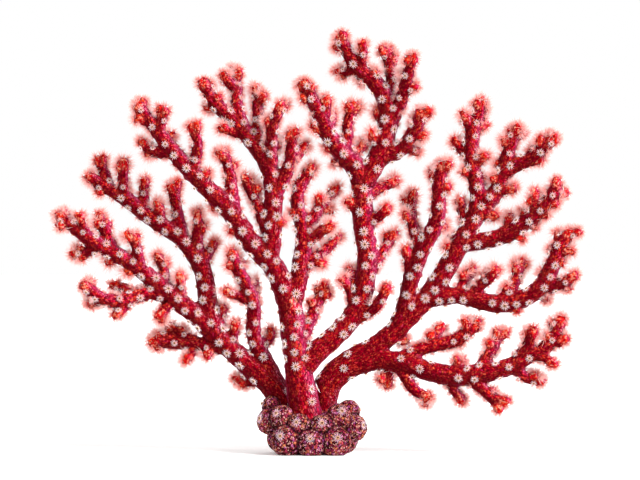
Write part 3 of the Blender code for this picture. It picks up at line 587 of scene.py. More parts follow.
def relief_tree():
    """Raises a mound under every star polyp, pebbles and ripples of spicules that run along the limb, and
    rounded lobes on young ends."""
    tree, given = new_tree("spicule relief", {
        "String": ("Room",), "Int": ("Seed",), "Material": ("Material",),
        "Float": ("Spacing", "Crowding", "Mound height", "Mound reach", "Pebble size", "Pebble height",
                  "Ripple size", "Ripple height", "Lobe size", "Lobe height", "Stretch")})
    spots = polyp_spots(tree, given)
    near = add(tree, "GeometryNodeProximity", {"target_element": "POINTS"}, {0: spots["Points"]})
    mound = add(tree, "ShaderNodeMapRange", {"interpolation_type": "SMOOTHSTEP"}, {
        "Value": near.outputs["Distance"], "From Min": 0.0, "From Max": given["Mound reach"],
        "To Min": 1.0, "To Max": 0.0})
    rise = add(tree, "ShaderNodeMath", {"operation": "MULTIPLY"}, {0: mound, 1: given["Mound height"]})
    grain = add(tree, "GeometryNodeInputNamedAttribute", {"data_type": "FLOAT_VECTOR"}, {"Name": "grain"})
    young = add(tree, "GeometryNodeInputNamedAttribute", {"data_type": "FLOAT"}, {"Name": "young"})
    along = add(tree, "ShaderNodeMath", {"operation": "DIVIDE"}, {0: 1.0, 1: given["Stretch"]})
    squeeze = add(tree, "ShaderNodeCombineXYZ", {}, {"X": 1.0, "Y": 1.0, "Z": along})
    stretched = add(tree, "ShaderNodeVectorMath", {"operation": "MULTIPLY"}, {0: grain, 1: squeeze})
    cells, waves = ("ShaderNodeTexVoronoi", {"feature": "SMOOTH_F1"}), ("ShaderNodeTexNoise", {})
    for label, texture, sockets, where, way, middle, only in (
            ("Pebble", cells, {"Smoothness": 0.35}, stretched, -1.0, 0.5, 1.0),
            ("Ripple", waves, {"Detail": 2.0}, stretched, 1.0, -0.5, 1.0),
            ("Lobe", cells, {"Smoothness": 0.2}, grain, -1.0, 0.62, young)):
        scale = add(tree, "ShaderNodeMath", {"operation": "DIVIDE"}, {0: 1.0, 1: given[label + " size"]})
        pattern = add(tree, *texture, {"Vector": where, "Scale": scale, **sockets})
        bulge = add(tree, "ShaderNodeMath", {"operation": "MULTIPLY_ADD"}, {0: pattern, 1: way, 2: middle})
        height = add(tree, "ShaderNodeMath", {"operation": "MULTIPLY"}, {0: given[label + " height"], 1: only})
        rise = add(tree, "ShaderNodeMath", {"operation": "MULTIPLY_ADD"}, {0: bulge, 1: height, 2: rise})
    offset = add(tree, "ShaderNodeVectorMath", {"operation": "SCALE"}, {
        0: add(tree, "GeometryNodeInputNormal"), "Scale": rise})
    marked = add(tree, "GeometryNodeStoreNamedAttribute", {"data_type": "FLOAT", "domain": "POINT"}, {
        "Geometry": given["Geometry"], "Name": "mound", "Value": mound})
    raised = add(tree, "GeometryNodeSetPosition", {}, {"Geometry": marked, "Offset": offset})
    return finished(tree, raised, given["Material"])


def paint(hex_colour):
    """An sRGB hex colour as the linear one that a shader takes."""
    parts = [int(hex_colour[i : i + 2], 16) / 255 for i in (1, 3, 5)]
    return tuple(c / 12.92 if c <= 0.04045 else ((c + 0.055) / 1.055) ** 2.4 for c in parts) + (1.0,)


def laid_over(tree, under, over, *amounts):
    """Lays one colour over another by the product of some amounts. An amount is a number, a value, or a
    value with the two limits that it passes smoothly between and the amounts at the one and the other."""
    share = 1.0
    for amount in amounts:
        if isinstance(amount, tuple):
            value, low, high, at_low, at_high = amount
            amount = add(tree, "ShaderNodeMapRange", {"interpolation_type": "SMOOTHSTEP"}, {
                "Value": value, "From Min": low, "From Max": high, "To Min": at_low, "To Max": at_high})
        share = add(tree, "ShaderNodeMath", {"operation": "MULTIPLY"}, {0: share, 1: amount})
    over = paint(over) if isinstance(over, str) else over
    return add(tree, "ShaderNodeMix", {"data_type": "RGBA"}, {0: share, 6: under, 7: over}).outputs[2]


def new_material(name):
    """A material, its tree and its shader."""
    material = bpy.data.materials.new(name)
    material.use_nodes = True
    return material, material.node_tree, material.node_tree.nodes["Principled BSDF"]


def clumps(tree, where, size, stretch, waver, seed):
    """Clumps of the skin's spicules, a set size across and stretched along the limb: a number from 0 to 1
    for each, and the rise from its edge to its middle."""
    scaled = add(tree, "ShaderNodeVectorMath", {"operation": "MULTIPLY"}, {
        0: where, 1: (1 / size, 1 / size, 1 / size / stretch)})
    drift = add(tree, "ShaderNodeTexNoise", {}, {"Vector": scaled, "Scale": 0.45, "Detail": 1.0})
    pushed = add(tree, "ShaderNodeVectorMath", {"operation": "MULTIPLY_ADD"}, {
        0: drift.outputs["Color"], 1: (waver, waver, waver), 2: scaled})
    moved = add(tree, "ShaderNodeVectorMath", {"operation": "ADD"}, {0: pushed, 1: (seed, seed, seed)})
    cells = add(tree, "ShaderNodeTexVoronoi", {}, {"Vector": moved, "Scale": 1.0})
    edges = add(tree, "ShaderNodeTexVoronoi", {"feature": "DISTANCE_TO_EDGE"}, {"Vector": moved, "Scale": 1.0})
    rise = add(tree, "ShaderNodeMapRange", {"interpolation_type": "SMOOTHSTEP"}, {
        "Value": edges, "From Min": 0.0, "From Max": 0.30})
    return add(tree, "ShaderNodeSeparateColor", {}, {"Color": cells.outputs["Color"]}), rise


def grained(tree, shader, colour, rise, fine_rise, fine_share, depth, roughness, gloss):
    """Ends a crusty skin: its colour, a relief of coarse and fine clumps, and its surface."""
    grains = add(tree, "ShaderNodeMath", {"operation": "MULTIPLY_ADD"}, {0: fine_rise, 1: fine_share, 2: rise})
    bump = add(tree, "ShaderNodeBump", {}, {"Strength": 0.9, "Distance": depth, "Height": grains})
    join(tree, shader, {
        "Base Color": colour, "Normal": bump, "Roughness": roughness, "Specular IOR Level": gloss})


# Living gorgonian rind: a moist, waxy skin, like a rope of tiny grains. A spicule is 0.1 to 0.3 mm long,
# too fine to show, so the grains are clumps of them, 1.2 and 0.8 mm across.
# Crimson, with grains of orange, rose and maroon. Painted shade darkens the gaps between the grains and
# makes it wine-dark below and left, a painted magenta sheen lies on the right, painted rim light runs
# round the edges, and brighter specks are partly orange grains and partly painted wet glints. The
# growing tips are a hot orange-red.
RIND_CLUMP, RIND_FINE_CLUMP = 1.20 * MM, 0.80 * MM
RIND_COLOURS = ((0.0, "#56000A"), (0.20, "#840016"), (0.48, "#B00222"), (0.74, "#C80824"),
                (0.84, "#E23416"), (0.92, "#C81E52"), (1.0, "#F2683A"))
TIP_COLOURS = ((0.0, "#AC0612"), (0.35, "#D41016"), (0.68, "#E82A18"), (0.88, "#F65A30"), (1.0, "#FFB894"))
# The way towards the light, for the painted shade, and the way to the right, for the painted magenta sheen.
TO_THE_LIGHT = (0.74, 0.04, 0.66)
TO_THE_RIGHT = (0.96, 0.0, 0.28)


def red_rind():
    """The rind's material, from its grain, its distance to the limb's tip and the way that it faces, which sets
    where its shade, sheen and rim light are painted.
    """
    material, tree, shader = new_material("gorgonian_rind")
    grain = add(tree, "ShaderNodeAttribute", {"attribute_name": "grain"}).outputs["Vector"]
    to_tip = add(tree, "ShaderNodeAttribute", {"attribute_name": "to_tip"}).outputs["Fac"]
    mound = add(tree, "ShaderNodeAttribute", {"attribute_name": "mound"}).outputs["Fac"]
    normal = add(tree, "ShaderNodeNewGeometry").outputs["Normal"]
    facing_light, rightward = (
        add(tree, "ShaderNodeVectorMath", {"operation": "DOT_PRODUCT"}, {0: normal, 1: way}).outputs["Value"]
        for way in (TO_THE_LIGHT, TO_THE_RIGHT))
    sideways = add(tree, "ShaderNodeMath", {"operation": "ABSOLUTE"}, {
        0: add(tree, "ShaderNodeSeparateXYZ", {}, {0: normal}).outputs["Y"]})
    tip, right, old = (
        add(tree, "ShaderNodeMapRange", {"interpolation_type": "SMOOTHSTEP"}, {
            "Value": value, "From Min": none, "From Max": full})
        for value, none, full in (
            (to_tip, 9.0 * MM, 2.5 * MM), (rightward, 0.20, 0.80), (to_tip, 45 * MM, 110 * MM)))
    pick, rise = clumps(tree, grain, RIND_CLUMP, stretch=1.6, waver=1.2, seed=3.0)
    fine, fine_rise = clumps(tree, grain, RIND_FINE_CLUMP, stretch=1.4, waver=1.0, seed=9.0)
    # The painted shade and the painted shade in the gaps fade towards the tips.
    lit = (tip, 0.0, 1.0, 1.0, 0.45)

    colour = add(tree, "ShaderNodeValToRGB", {"stops": RIND_COLOURS}, {"Fac": pick})
    hot = add(tree, "ShaderNodeValToRGB", {"stops": TIP_COLOURS}, {"Fac": pick})
    colour = laid_over(tree, colour, hot, tip, 0.86)
    # Painted sheen: magenta on the sides that face right, fainter on old parts.
    colour = laid_over(tree, colour, "#D23A74", right, (old, 0.0, 1.0, 0.62, 0.14))
    colour = laid_over(tree, colour, "#74000E", old, 0.34)
    # Bright specks: partly orange grains, partly painted wet glints, pinker on the right and paler at the tips.
    fleck_and_glint = laid_over(tree, paint("#F05A3C"), "#F6A0C4", right)
    fleck_and_glint = laid_over(tree, fleck_and_glint, "#FFC4A8", tip, 0.6)
    colour = laid_over(tree, colour, fleck_and_glint, (fine, 0.77, 0.86, 0.0, 1.0), (old, 0.0, 1.0, 0.64, 0.40))
    colour = laid_over(tree, colour, "#3C0209", (fine, 0.22, 0.12, 0.0, 0.60))
    # Painted shade: wine-dark on the sides that face away from the light, less at the tips.
    colour = laid_over(tree, colour, "#4C000A", (facing_light, 0.36, -0.50, 0.0, 0.77), lit)
    # Painted rim light: magenta-pink round the edges, where the skin faces sideways.
    colour = laid_over(tree, colour, "#BC2C64", (sideways, 0.64, 0.10, 0.0, 0.46))
    # Painted shade in the gaps between the grains, less at the tips.
    colour = laid_over(tree, colour, "#4A0008", (rise, 0.45, 0.0, 0.0, 0.72), lit)
    colour = laid_over(tree, colour, "#C8324A", mound, 0.30)
    grained(tree, shader, colour, rise, fine_rise, fine_share=0.35, depth=0.45 * MM, roughness=0.32, gloss=0.01)
    return material


# Star polyps sit a set distance apart along the stems. The fingers' ends carry the fringe instead.
RIND_RELIEF = {
    "Room": "star_room", "Spacing": 8.2 * MM, "Crowding": 200000.0, "Seed": 7,
    "Mound height": 0.75 * MM, "Mound reach": 2.4 * MM, "Pebble size": 1.9 * MM, "Pebble height": 0.55 * MM,
    "Ripple size": 3.2 * MM, "Ripple height": 1.1 * MM, "Lobe size": 3.6 * MM, "Lobe height": 2.6 * MM,
    "Stretch": 1.9,
}
BARE_TIP = 4 * MM
YOUNG_END = 8 * MM
CROWDED_FROM, CROWDED_OVER = 38 * MM, 60 * MM
FINGER, FINGER_TO_STEM = 3.4 * MM, 1.5 * MM
STEM, STEM_TO_STOUT, STOUT_ROOM = 4.6 * MM, 8.0 * MM, 0.62
EDGE_ROOM, FACE_LOSS, FACE_ROOM = 1.27, 1.55, 0.01
TIP_ROOM, FINGER_ROOM = 1.3, 0.62
FOOT_END_ROOM = 0.4
SMALL_STAR, LARGE_STAR, STARS_GROW_FROM, STARS_GROW_OVER = 0.76, 1.1, 3 * MM, 7 * MM
TUFT_SIZE, YOUNG_TUFT_GAIN = 0.78, 0.40

places = read(fan.data.vertices, "co", 3).astype(float)
bough_of, to_tip, girth, grain = beside_limbs(places, limbs)
young = np.clip(1.0 - to_tip / YOUNG_END, 0, 1)
high_up = np.clip((places[:, 2] - CROWDED_FROM) / CROWDED_OVER, 0, 1)
slender = np.clip(1.0 - (girth - STEM) / STEM_TO_STOUT, STOUT_ROOM, 1)
fingers = np.clip(1.0 - (girth - FINGER) / FINGER_TO_STEM, 0, 1)
faces_front = np.abs(read(fan.data.vertices, "normal", 3)[:, 1])
edgeward = np.clip(EDGE_ROOM - FACE_LOSS * faces_front, FACE_ROOM, 1)
crowded = np.clip(TIP_ROOM - to_tip / YOUNG_END, FINGER_ROOM, 1)
star_size = np.clip(SMALL_STAR + (girth - STARS_GROW_FROM) / STARS_GROW_OVER, SMALL_STAR, LARGE_STAR)
stems = np.where(to_tip > BARE_TIP, FOOT_END_ROOM + (1 - FOOT_END_ROOM) * high_up, 0.0)
give(fan.data, "bough", bough_of, "INT")
give(fan.data, "to_tip", to_tip)
give(fan.data, "grain", grain, "FLOAT_VECTOR")
give(fan.data, "young", young)
give(fan.data, "star_room", stems * slender)
give(fan.data, "star_size", star_size)
give(fan.data, "fringe_room", fingers * edgeward * crowded)
give(fan.data, "fringe_size", TUFT_SIZE + YOUNG_TUFT_GAIN * young)
bare_fan = fan.data.copy()
relief = relief_tree()
grown_by(fan, relief, {**RIND_RELIEF, "Material": red_rind()})


def joined_neighbours(mesh):
    """Pairs of faces that share an edge."""
    edge_of = read(mesh.loops, "edge_index", kind=np.int32)
    sizes = read(mesh.polygons, "loop_total", kind=np.int32)
    face_of = np.repeat(np.arange(len(sizes)), sizes)
    order = np.argsort(edge_of, kind="stable")
    edge_of, face_of = edge_of[order], face_of[order]
    same = edge_of[:-1] == edge_of[1:]
    return np.column_stack([face_of[:-1][same], face_of[1:][same]])


def bough_of_faces(mesh):
    """The number of the bough that each face is on, or whose polyp it is part of."""
    starts = read(mesh.polygons, "loop_start", kind=np.int32)
    points = read(mesh.loops, "vertex_index", kind=np.int32)
    return read(mesh.attributes["bough"].data, "value", kind=np.int32)[points[starts]]


SMALLEST_PATCH = 1500


def whole_patches(group, pairs):
    """Gives every small stray patch of a bough's faces to the bough that surrounds it."""
    for _ in range(3):
        patch = np.arange(len(group))
        a, b = pairs[group[pairs[:, 0]] == group[pairs[:, 1]]].T
        while True:
            low = np.minimum(patch[a], patch[b])
            lower = patch.copy()
            np.minimum.at(lower, a, low)
            np.minimum.at(lower, b, low)
            lower = lower[lower]
            if (lower == patch).all():
                break
            patch = lower
        small = np.bincount(patch, minlength=len(group))[patch] < SMALLEST_PATCH
        for first, second in (pairs.T, pairs.T[::-1]):
            strayed = small[first] & ~small[second] & (group[first] != group[second])
            taken_by = dict(zip(patch[first[strayed]], group[second[strayed]]))
            for lone, owner in taken_by.items():
                group[patch == lone] = owner
    return group


def part_of(mesh, name, chosen, carried, capped):
    """A new object from some faces of a mesh, with the attributes that it carries and how wide each is. A
    capped one has its rims closed and is smooth."""
    sizes = read(mesh.polygons, "loop_total", kind=np.int32)
    starts = np.concatenate([[0], np.cumsum(sizes)[:-1]])
    picked = np.flatnonzero(chosen)
    loops = np.repeat(starts[picked], sizes[picked]) + np.concatenate([np.arange(s) for s in sizes[picked]])
    used, corner = np.unique(read(mesh.loops, "vertex_index", kind=np.int32)[loops], return_inverse=True)
    part = bpy.data.meshes.new(name)
    part.vertices.add(len(used))
    part.vertices.foreach_set("co", read(mesh.vertices, "co", 3)[used].ravel())
    part.loops.add(len(loops))
    part.loops.foreach_set("vertex_index", corner.astype(np.int32))
    part.polygons.add(len(picked))
    firsts = np.concatenate([[0], np.cumsum(sizes[picked])[:-1]])
    part.polygons.foreach_set("loop_start", firsts.astype(np.int32))
    part.update(calc_edges=True)
    for label, width in carried.items():
        field, kind = ("vector", "FLOAT_VECTOR") if width == 3 else ("value", "FLOAT")
        give(part, label, read(mesh.attributes[label].data, field, width)[used], kind)
    if capped:
        shape = bmesh.new()
        shape.from_mesh(part)
        rim = [edge for edge in shape.edges if len(edge.link_faces) == 1]
        bmesh.ops.holes_fill(shape, edges=rim, sides=0)
        bmesh.ops.triangulate(shape, faces=[face for face in shape.faces if len(face.verts) > 4])
        shape.to_mesh(part)
        shape.free()
        part.shade_smooth()
        part.normals_split_custom_set_from_vertices(read(mesh.vertices, "normal", 3)[used].tolist())
    else:
        part.shade_flat()
    part.materials.append(next(material for material in mesh.materials if material))
    return object_of(name, part)


owner = whole_patches(bough_of_faces(fan.data), joined_neighbours(fan.data))
for bough_index, name in enumerate(BOUGHS):
    carried = {"grain": 3, "to_tip": 1, "mound": 1}
    piece = part_of(fan.data, name + "_flesh", owner == bough_index, carried, True)
    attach(piece, "root")
    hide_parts(name)


# The foot.
# Where the colony held on to the reef its rind swells into a mound of rounded lumps, crusted with
# coarse spicules in brown, mauve and orange. It is one growth, cut flat underneath, and stands on that.

# The core's half sizes, and each lump: right, back and up from the foot's middle, and its radius, in steps.
MOUND_CORE = (27.0 * MM, 20.0 * MM, 22.0 * MM)
CORE_LIFT = 0.42
LUMPS = [
    (-26, -27, 14, 16), (-1, -31, 12, 15), (23, -28, 13, 16),
    (-13, -25, 30, 12), (9, -26, 29, 12), (-30, -16, 37, 13), (26, -18, 38, 13),
    (-42, -6, 33, 14), (-41, 3, 48, 10), (41, -4, 26, 14), (36, 5, 42, 12),
    (-30, 20, 15, 16), (30, 20, 14, 16), (-13, 31, 14, 16), (11, 32, 14, 16),
    (-25, 18, 36, 14), (25, 19, 36, 14), (0, 22, 37, 14),
]
LUMP_ROUNDNESS = 3


def foot_mound():
    """The core and its lumps as one mesh of overlapping balls."""
    shape = bmesh.new()
    core = bmesh.ops.create_icosphere(shape, subdivisions=LUMP_ROUNDNESS, radius=1.0)["verts"]
    bmesh.ops.scale(shape, vec=MOUND_CORE, verts=core)
    bmesh.ops.translate(shape, vec=(0.0, 0.0, MOUND_CORE[2] * CORE_LIFT), verts=core)
    for right, back, up, radius in LUMPS:
        ball = bmesh.ops.create_icosphere(shape, subdivisions=LUMP_ROUNDNESS, radius=radius * STEP)["verts"]
        bmesh.ops.translate(shape, vec=Vector((right, back, up)) * STEP, verts=ball)
    return shaped("foot", shape)


# Old rind over the foot: a dry, gritty crust of coarse spicules, drawn in clumps as the rind's are.
# Mauve-brown, speckled with rust, purple and pale rose, with painted shade in the gaps between clumps,
# and the darkest painted shade in the creases between the lumps.
CRUST_CLUMP, CRUST_FINE_CLUMP = 1.50 * MM, 0.95 * MM
CRUST_COLOURS = ((0.0, "#240408"), (0.18, "#5C101E"), (0.38, "#9C2C4A"), (0.54, "#B44250"),
                 (0.70, "#C87448"), (0.80, "#982834"), (0.90, "#A8488C"), (1.0, "#E890A8"))


def crust():
    """The crust's material, from its grain, its creases, where its shade is painted, and the mounds under its
    polyps.
    """
    material, tree, shader = new_material("spicule_crust")
    grain = add(tree, "ShaderNodeAttribute", {"attribute_name": "grain"}).outputs["Vector"]
    crease = add(tree, "ShaderNodeAttribute", {"attribute_name": "crease"}).outputs["Fac"]
    mound = add(tree, "ShaderNodeAttribute", {"attribute_name": "mound"}).outputs["Fac"]
    pick, rise = clumps(tree, grain, CRUST_CLUMP, stretch=1.3, waver=1.3, seed=3.0)
    fine, fine_rise = clumps(tree, grain, CRUST_FINE_CLUMP, stretch=1.0, waver=1.0, seed=9.0)
    colour = add(tree, "ShaderNodeValToRGB", {"stops": CRUST_COLOURS}, {"Fac": pick})
    colour = laid_over(tree, colour, "#F8BCAC", (fine, 0.82, 0.90, 0.0, 0.66))
    colour = laid_over(tree, colour, "#180206", (fine, 0.30, 0.16, 0.0, 0.85))
    # Painted shade in the gaps between the clumps.
    colour = laid_over(tree, colour, "#22040A", (rise, 0.5, 0.0, 0.0, 0.75))
    # Painted shade in the creases between the lumps.
    colour = laid_over(tree, colour, "#1E060C", (crease, 0.0, 1.0, 0.0, 0.90))
    colour = laid_over(tree, colour, "#6C1C4C", mound, 0.65)
    grained(tree, shader, colour, rise, fine_rise, fine_share=0.4, depth=0.6 * MM, roughness=0.6, gloss=0.02)
    return material


FOOT_RELIEF = {
    "Room": "star_room", "Spacing": 6.5 * MM, "Crowding": 4000000.0, "Seed": 4,
    "Mound height": 0.6 * MM, "Mound reach": 3.0 * MM, "Pebble size": 1.8 * MM, "Pebble height": 0.9 * MM,
    "Ripple size": 5.0 * MM, "Ripple height": 1.6 * MM, "Lobe size": 5.0 * MM, "Lobe height": 0.0,
    "Stretch": 1.0,
}
LUMP_CROWN = 1.8 * MM
CREASE_WIDTH = 2.2 * MM
BACK_LUMPS_FROM, FRONT_PULL = 10 * STEP, 8 * STEP
SPREAD_SIDEWAYS, SPREAD_UP = 0.35, 0.35
SMALLEST_EDGE = 0.05 * MM
FOOT_STAR_SIZE = 1.2

# One star polyp sits on each lump's crown, which lies outwards and a little up from its middle.
foot = melted(foot_mound())
places = read(foot.data.vertices, "co", 3).astype(float)
middles = np.array([lump[:3] for lump in LUMPS], float) * STEP
sizes = np.array([lump[3] for lump in LUMPS], float) * STEP
outward = middles * np.array([SPREAD_SIDEWAYS, 1.0, 0.0])
outward[:, 1] -= np.where(middles[:, 1] < BACK_LUMPS_FROM, FRONT_PULL, 0)
outward[:, 2] = SPREAD_UP * np.linalg.norm(outward, axis=1)
outward /= np.linalg.norm(outward, axis=1)[:, None]
crowns = middles + outward * sizes[:, None]
to_skin = np.abs(np.linalg.norm(places[:, None] - middles[None], axis=2) - sizes[None])
to_skin.sort(axis=1)
on_skin = places[np.linalg.norm(places[:, None] - crowns[None], axis=2).argmin(axis=0)]
to_crown = np.linalg.norm(places[:, None] - on_skin[None], axis=2).min(axis=1)
give(foot.data, "grain", places, "FLOAT_VECTOR")
give(foot.data, "crease", np.clip(1.0 - (to_skin[:, 1] - to_skin[:, 0]) / CREASE_WIDTH, 0, 1))
give(foot.data, "star_room", np.where(to_crown < LUMP_CROWN, 1.0, 0.0))
give(foot.data, "star_size", np.full(len(places), FOOT_STAR_SIZE))
bare_foot = foot.data.copy()
grown_by(foot, relief, {**FOOT_RELIEF, "Material": crust()})

# The cut: everything under the table's level is drawn up flat to it.
places = read(foot.data.vertices, "co", 3)
places[:, 2] = np.maximum(places[:, 2], 0.0)
foot.data.vertices.foreach_set("co", places.ravel())
cut = bmesh.new()
cut.from_mesh(foot.data)
bmesh.ops.dissolve_degenerate(cut, edges=cut.edges, dist=SMALLEST_EDGE)
cut.to_mesh(foot.data)
cut.free()
foot.data.shade_smooth()
foot.name = "holdfast_crust"
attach(foot, "root")
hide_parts("holdfast")


# The star polyps.
# Each is a soft animal in a low mound of the rind: a pale disc round a brown mouth, with thirteen to
# sixteen thin milky tentacles laid open. They sit on every side of the stems and on the foot's lumps,
# where they are smaller in the ray, flatter and rosier.

STAR_REACH = 3.9 * MM
STAR_DISC = 1.0 * MM
DISC_DEPTH, DISC_SINK, DISC_FOOT = 0.9 * MM, 0.1 * MM, 0.8
LIP, LIP_RISE = 0.30, 0.12 * MM
MOUTH, MOUTH_DEPTH, THROAT_DEPTH = 0.22, 0.10 * MM, 0.25 * MM
RAY_ROOT, RAY_ROOT_LIFT, RAY_WAIST = 0.80, 0.10 * MM, 0.30
STAR_FORMS = {
    "star_polyp": {"rays": 13, "ray_width": 0.24 * MM, "rise": 1.0 * MM},
    "foot_star_polyp": {"rays": 16, "ray_width": 0.18 * MM, "rise": 0.5 * MM},
}


def three_sided(shape, middle, side, up, width):
    """The three corners of a thin stalk's cross-section."""
    return [shape.verts.new(middle + (side * math.cos(a) + up * math.sin(a)) * width)
            for a in (math.pi / 2, math.pi * 7 / 6, math.pi * 11 / 6)]


def tentacle(shape, start, waist, end, width):
    """A thin tentacle, a three-sided spindle bent once, where it is widest."""
    towards = (end - start).normalized()
    side = towards.cross(Vector((0, 0, 1))).normalized()
    ring = three_sided(shape, waist, side, side.cross(towards), width)
    root, point = shape.verts.new(start), shape.verts.new(end)
    for k in range(3):
        shape.faces.new((ring[k], ring[(k + 1) % 3], point))
        shape.faces.new((ring[(k + 1) % 3], ring[k], root))


def template(name, shape, reach, axes):
    """A polyp's model, with how far each corner lies from its middle over these axes, from 0 to 1."""
    made = shaped(name, shape)
    places = read(made.data.vertices, "co", 3).astype(float)
    give(made.data, "reach", np.linalg.norm(places[:, :axes], axis=1) / reach)
    return made


def star_template(name, rays, ray_width, rise):
    """An open polyp: its disc with the sunken mouth, and its rays laid out round it."""
    shape = bmesh.new()
    disc = bmesh.ops.create_cone(shape, segments=10, radius1=STAR_DISC * DISC_FOOT, radius2=STAR_DISC,
                                 depth=DISC_DEPTH, cap_ends=True)["verts"]
    bmesh.ops.translate(shape, vec=(0, 0, -DISC_SINK), verts=disc)
    top = max(shape.faces, key=lambda face: face.calc_center_median().z)
    bmesh.ops.inset_region(shape, faces=[top], thickness=STAR_DISC * LIP, depth=LIP_RISE)
    bmesh.ops.inset_region(shape, faces=[top], thickness=STAR_DISC * MOUTH, depth=-MOUTH_DEPTH)
    bmesh.ops.poke(shape, faces=[top], offset=-THROAT_DEPTH)
    rng = np.random.default_rng(5)
    for k in range(rays):
        turn = 2 * math.pi * (k + rng.uniform(-0.18, 0.18)) / rays
        reach = STAR_REACH * (rng.uniform(0.88, 1.05) if k % 2 else rng.uniform(0.76, 0.92))
        out = Vector((math.cos(turn), math.sin(turn), 0))
        up = Vector((0, 0, 1))
        start = out * STAR_DISC * RAY_ROOT + up * RAY_ROOT_LIFT
        waist = out * (STAR_DISC + (reach - STAR_DISC) * RAY_WAIST) + up * rng.uniform(0.45, 0.80) * rise
        end = out * reach + up * rng.uniform(0.20, 1.10) * rise
        tentacle(shape, start, waist, end, ray_width)
    return template(name, shape, STAR_REACH, 2)


def polyp_tree():
    """Sets a polyp on every spot of a skin, standing square to it, each turned and sized by itself."""
    tree, given = new_tree("polyps on rind", {
        "String": ("Room", "Size"), "Int": ("Seed",), "Object": ("Polyp", "Raised skin"),
        "Float": ("Spacing", "Crowding", "Lift", "Smallest", "Largest", "Lean"), "Material": ("Material",)})
    spots = polyp_spots(tree, given)
    raised = add(tree, "GeometryNodeObjectInfo", {}, {"Object": given["Raised skin"]})
    above = add(tree, "GeometryNodeProximity", {"target_element": "FACES"}, {0: raised.outputs["Geometry"]})
    lift = add(tree, "ShaderNodeVectorMath", {"operation": "SCALE"}, {
        0: spots["Normal"], "Scale": given["Lift"]})
    lifted = add(tree, "GeometryNodeSetPosition", {}, {
        "Geometry": spots["Points"], "Position": above.outputs["Position"], "Offset": lift})
    other_way = add(tree, "ShaderNodeMath", {"operation": "MULTIPLY"}, {0: given["Lean"], 1: -1.0})
    lean_x, lean_y, spin, size = (
        add(tree, "FunctionNodeRandomValue", {"data_type": "FLOAT"}, {
            2: least, 3: most, "Seed": seed}).outputs[1]
        for least, most, seed in (
            (other_way, given["Lean"], 21), (other_way, given["Lean"], 22), (0.0, 2 * math.pi, 5),
            (given["Smallest"], given["Largest"], 9)))
    turn = add(tree, "ShaderNodeCombineXYZ", {}, {"X": lean_x, "Y": lean_y, "Z": spin})
    facing = add(tree, "FunctionNodeRotateRotation", {"rotation_space": "LOCAL"}, {
        0: spots["Rotation"], 1: add(tree, "FunctionNodeEulerToRotation", {}, {0: turn})})
    own_size = add(tree, "GeometryNodeInputNamedAttribute", {"data_type": "FLOAT"}, {"Name": given["Size"]})
    fitted = add(tree, "ShaderNodeMath", {"operation": "MULTIPLY"}, {0: size, 1: own_size})
    model = add(tree, "GeometryNodeObjectInfo", {}, {"Object": given["Polyp"]})
    polyps = add(tree, "GeometryNodeInstanceOnPoints", {}, {
        "Points": lifted, "Instance": model.outputs["Geometry"], "Rotation": facing, "Scale": fitted})
    return finished(tree, polyps, given["Material"])


def polyp_tissue(name, colours, roughness, glow, spread, depth):
    """A polyp's tissue, which lets light through. Its colours run from its middle to its points."""
    material, tree, shader = new_material(name)
    reach = add(tree, "ShaderNodeAttribute", {"attribute_name": "reach"}).outputs["Fac"]
    join(tree, shader, {
        "Base Color": add(tree, "ShaderNodeValToRGB", {"stops": colours}, {"Fac": reach}),
        "Roughness": roughness, "Specular IOR Level": 0.2, "Subsurface Weight": glow,
        "Subsurface Radius": spread, "Subsurface Scale": depth})
    return material


# Open polyp tissue: thin, moist and milky. A brown mouth and a straw-coloured lip, then a pale disc, and
# tentacles from one colour at the root to another at the point.
MOUTH_AND_LIP = ((0.0, "#220804"), (0.13, "#3E1206"), (0.18, "#9A4A1C"), (0.23, "#F4C89C"))
MILKY = MOUTH_AND_LIP + ((0.28, "#FFF6F0"), (0.50, "#FFE4EC"), (1.0, "#FFF2F6"))
ROSY = MOUTH_AND_LIP + ((0.28, "#FFDCD0"), (0.50, "#FCCCE0"), (1.0, "#FFF0F6"))
STAR_SURFACE = {"roughness": 0.42, "glow": 0.5, "spread": (1.0, 0.7, 0.7), "depth": 0.8 * MM}
STAR_SETTING = {"Size": "star_size", "Lift": 0.10 * MM, "Smallest": 0.86, "Largest": 1.08, "Lean": 0.16}

SIDES = {
    "left": ("left_bough", "left_under_spray", "left_low_spray", "left_upper_bough", "inner_left_bough"),
    "middle": ("trunk", "great_left_bough", "left_crown", "left_crown_side", "middle_spray", "tall_bough",
               "crown_left", "crown_right", "crown_side"),
    "right": ("right_bough", "right_mid_bough", "right_low_bough", "right_low_upper", "right_side_bough",
              "right_spire", "right_fan", "right_arm"),
}


def shared_out(polyps, name):
    """Parts polyps into the left, middle and right of the fan by the bough that each sits on."""
    where = bough_of_faces(polyps.data)
    order = list(BOUGHS)
    for side, names in SIDES.items():
        chosen = np.isin(where, [order.index(bough) for bough in names])
        piece = part_of(polyps.data, f"{name}_{side}", chosen, {"reach": 1}, False)
        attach(piece, "root")
    bpy.data.objects.remove(polyps)


polyp_setting = polyp_tree()
star = star_template("star_polyp", **STAR_FORMS["star_polyp"])
stars = grown_by(object_of("stars", bare_fan.copy()), polyp_setting, {
    **RIND_RELIEF, **STAR_SETTING, "Polyp": star, "Raised skin": fan,
    "Material": polyp_tissue("polyp_tissue", MILKY, **STAR_SURFACE)})
shared_out(stars, "star_polyps")
foot_star = star_template("foot_star_polyp", **STAR_FORMS["foot_star_polyp"])
foot_stars = grown_by(object_of("star_polyps_foot", bare_foot.copy()), polyp_setting, {
    **FOOT_RELIEF, **STAR_SETTING, "Polyp": foot_star, "Raised skin": foot,
    "Material": polyp_tissue("rosy_polyp_tissue", ROSY, **STAR_SURFACE)})
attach(foot_stars, "root")
bpy.data.objects.remove(star)
bpy.data.objects.remove(foot_star)


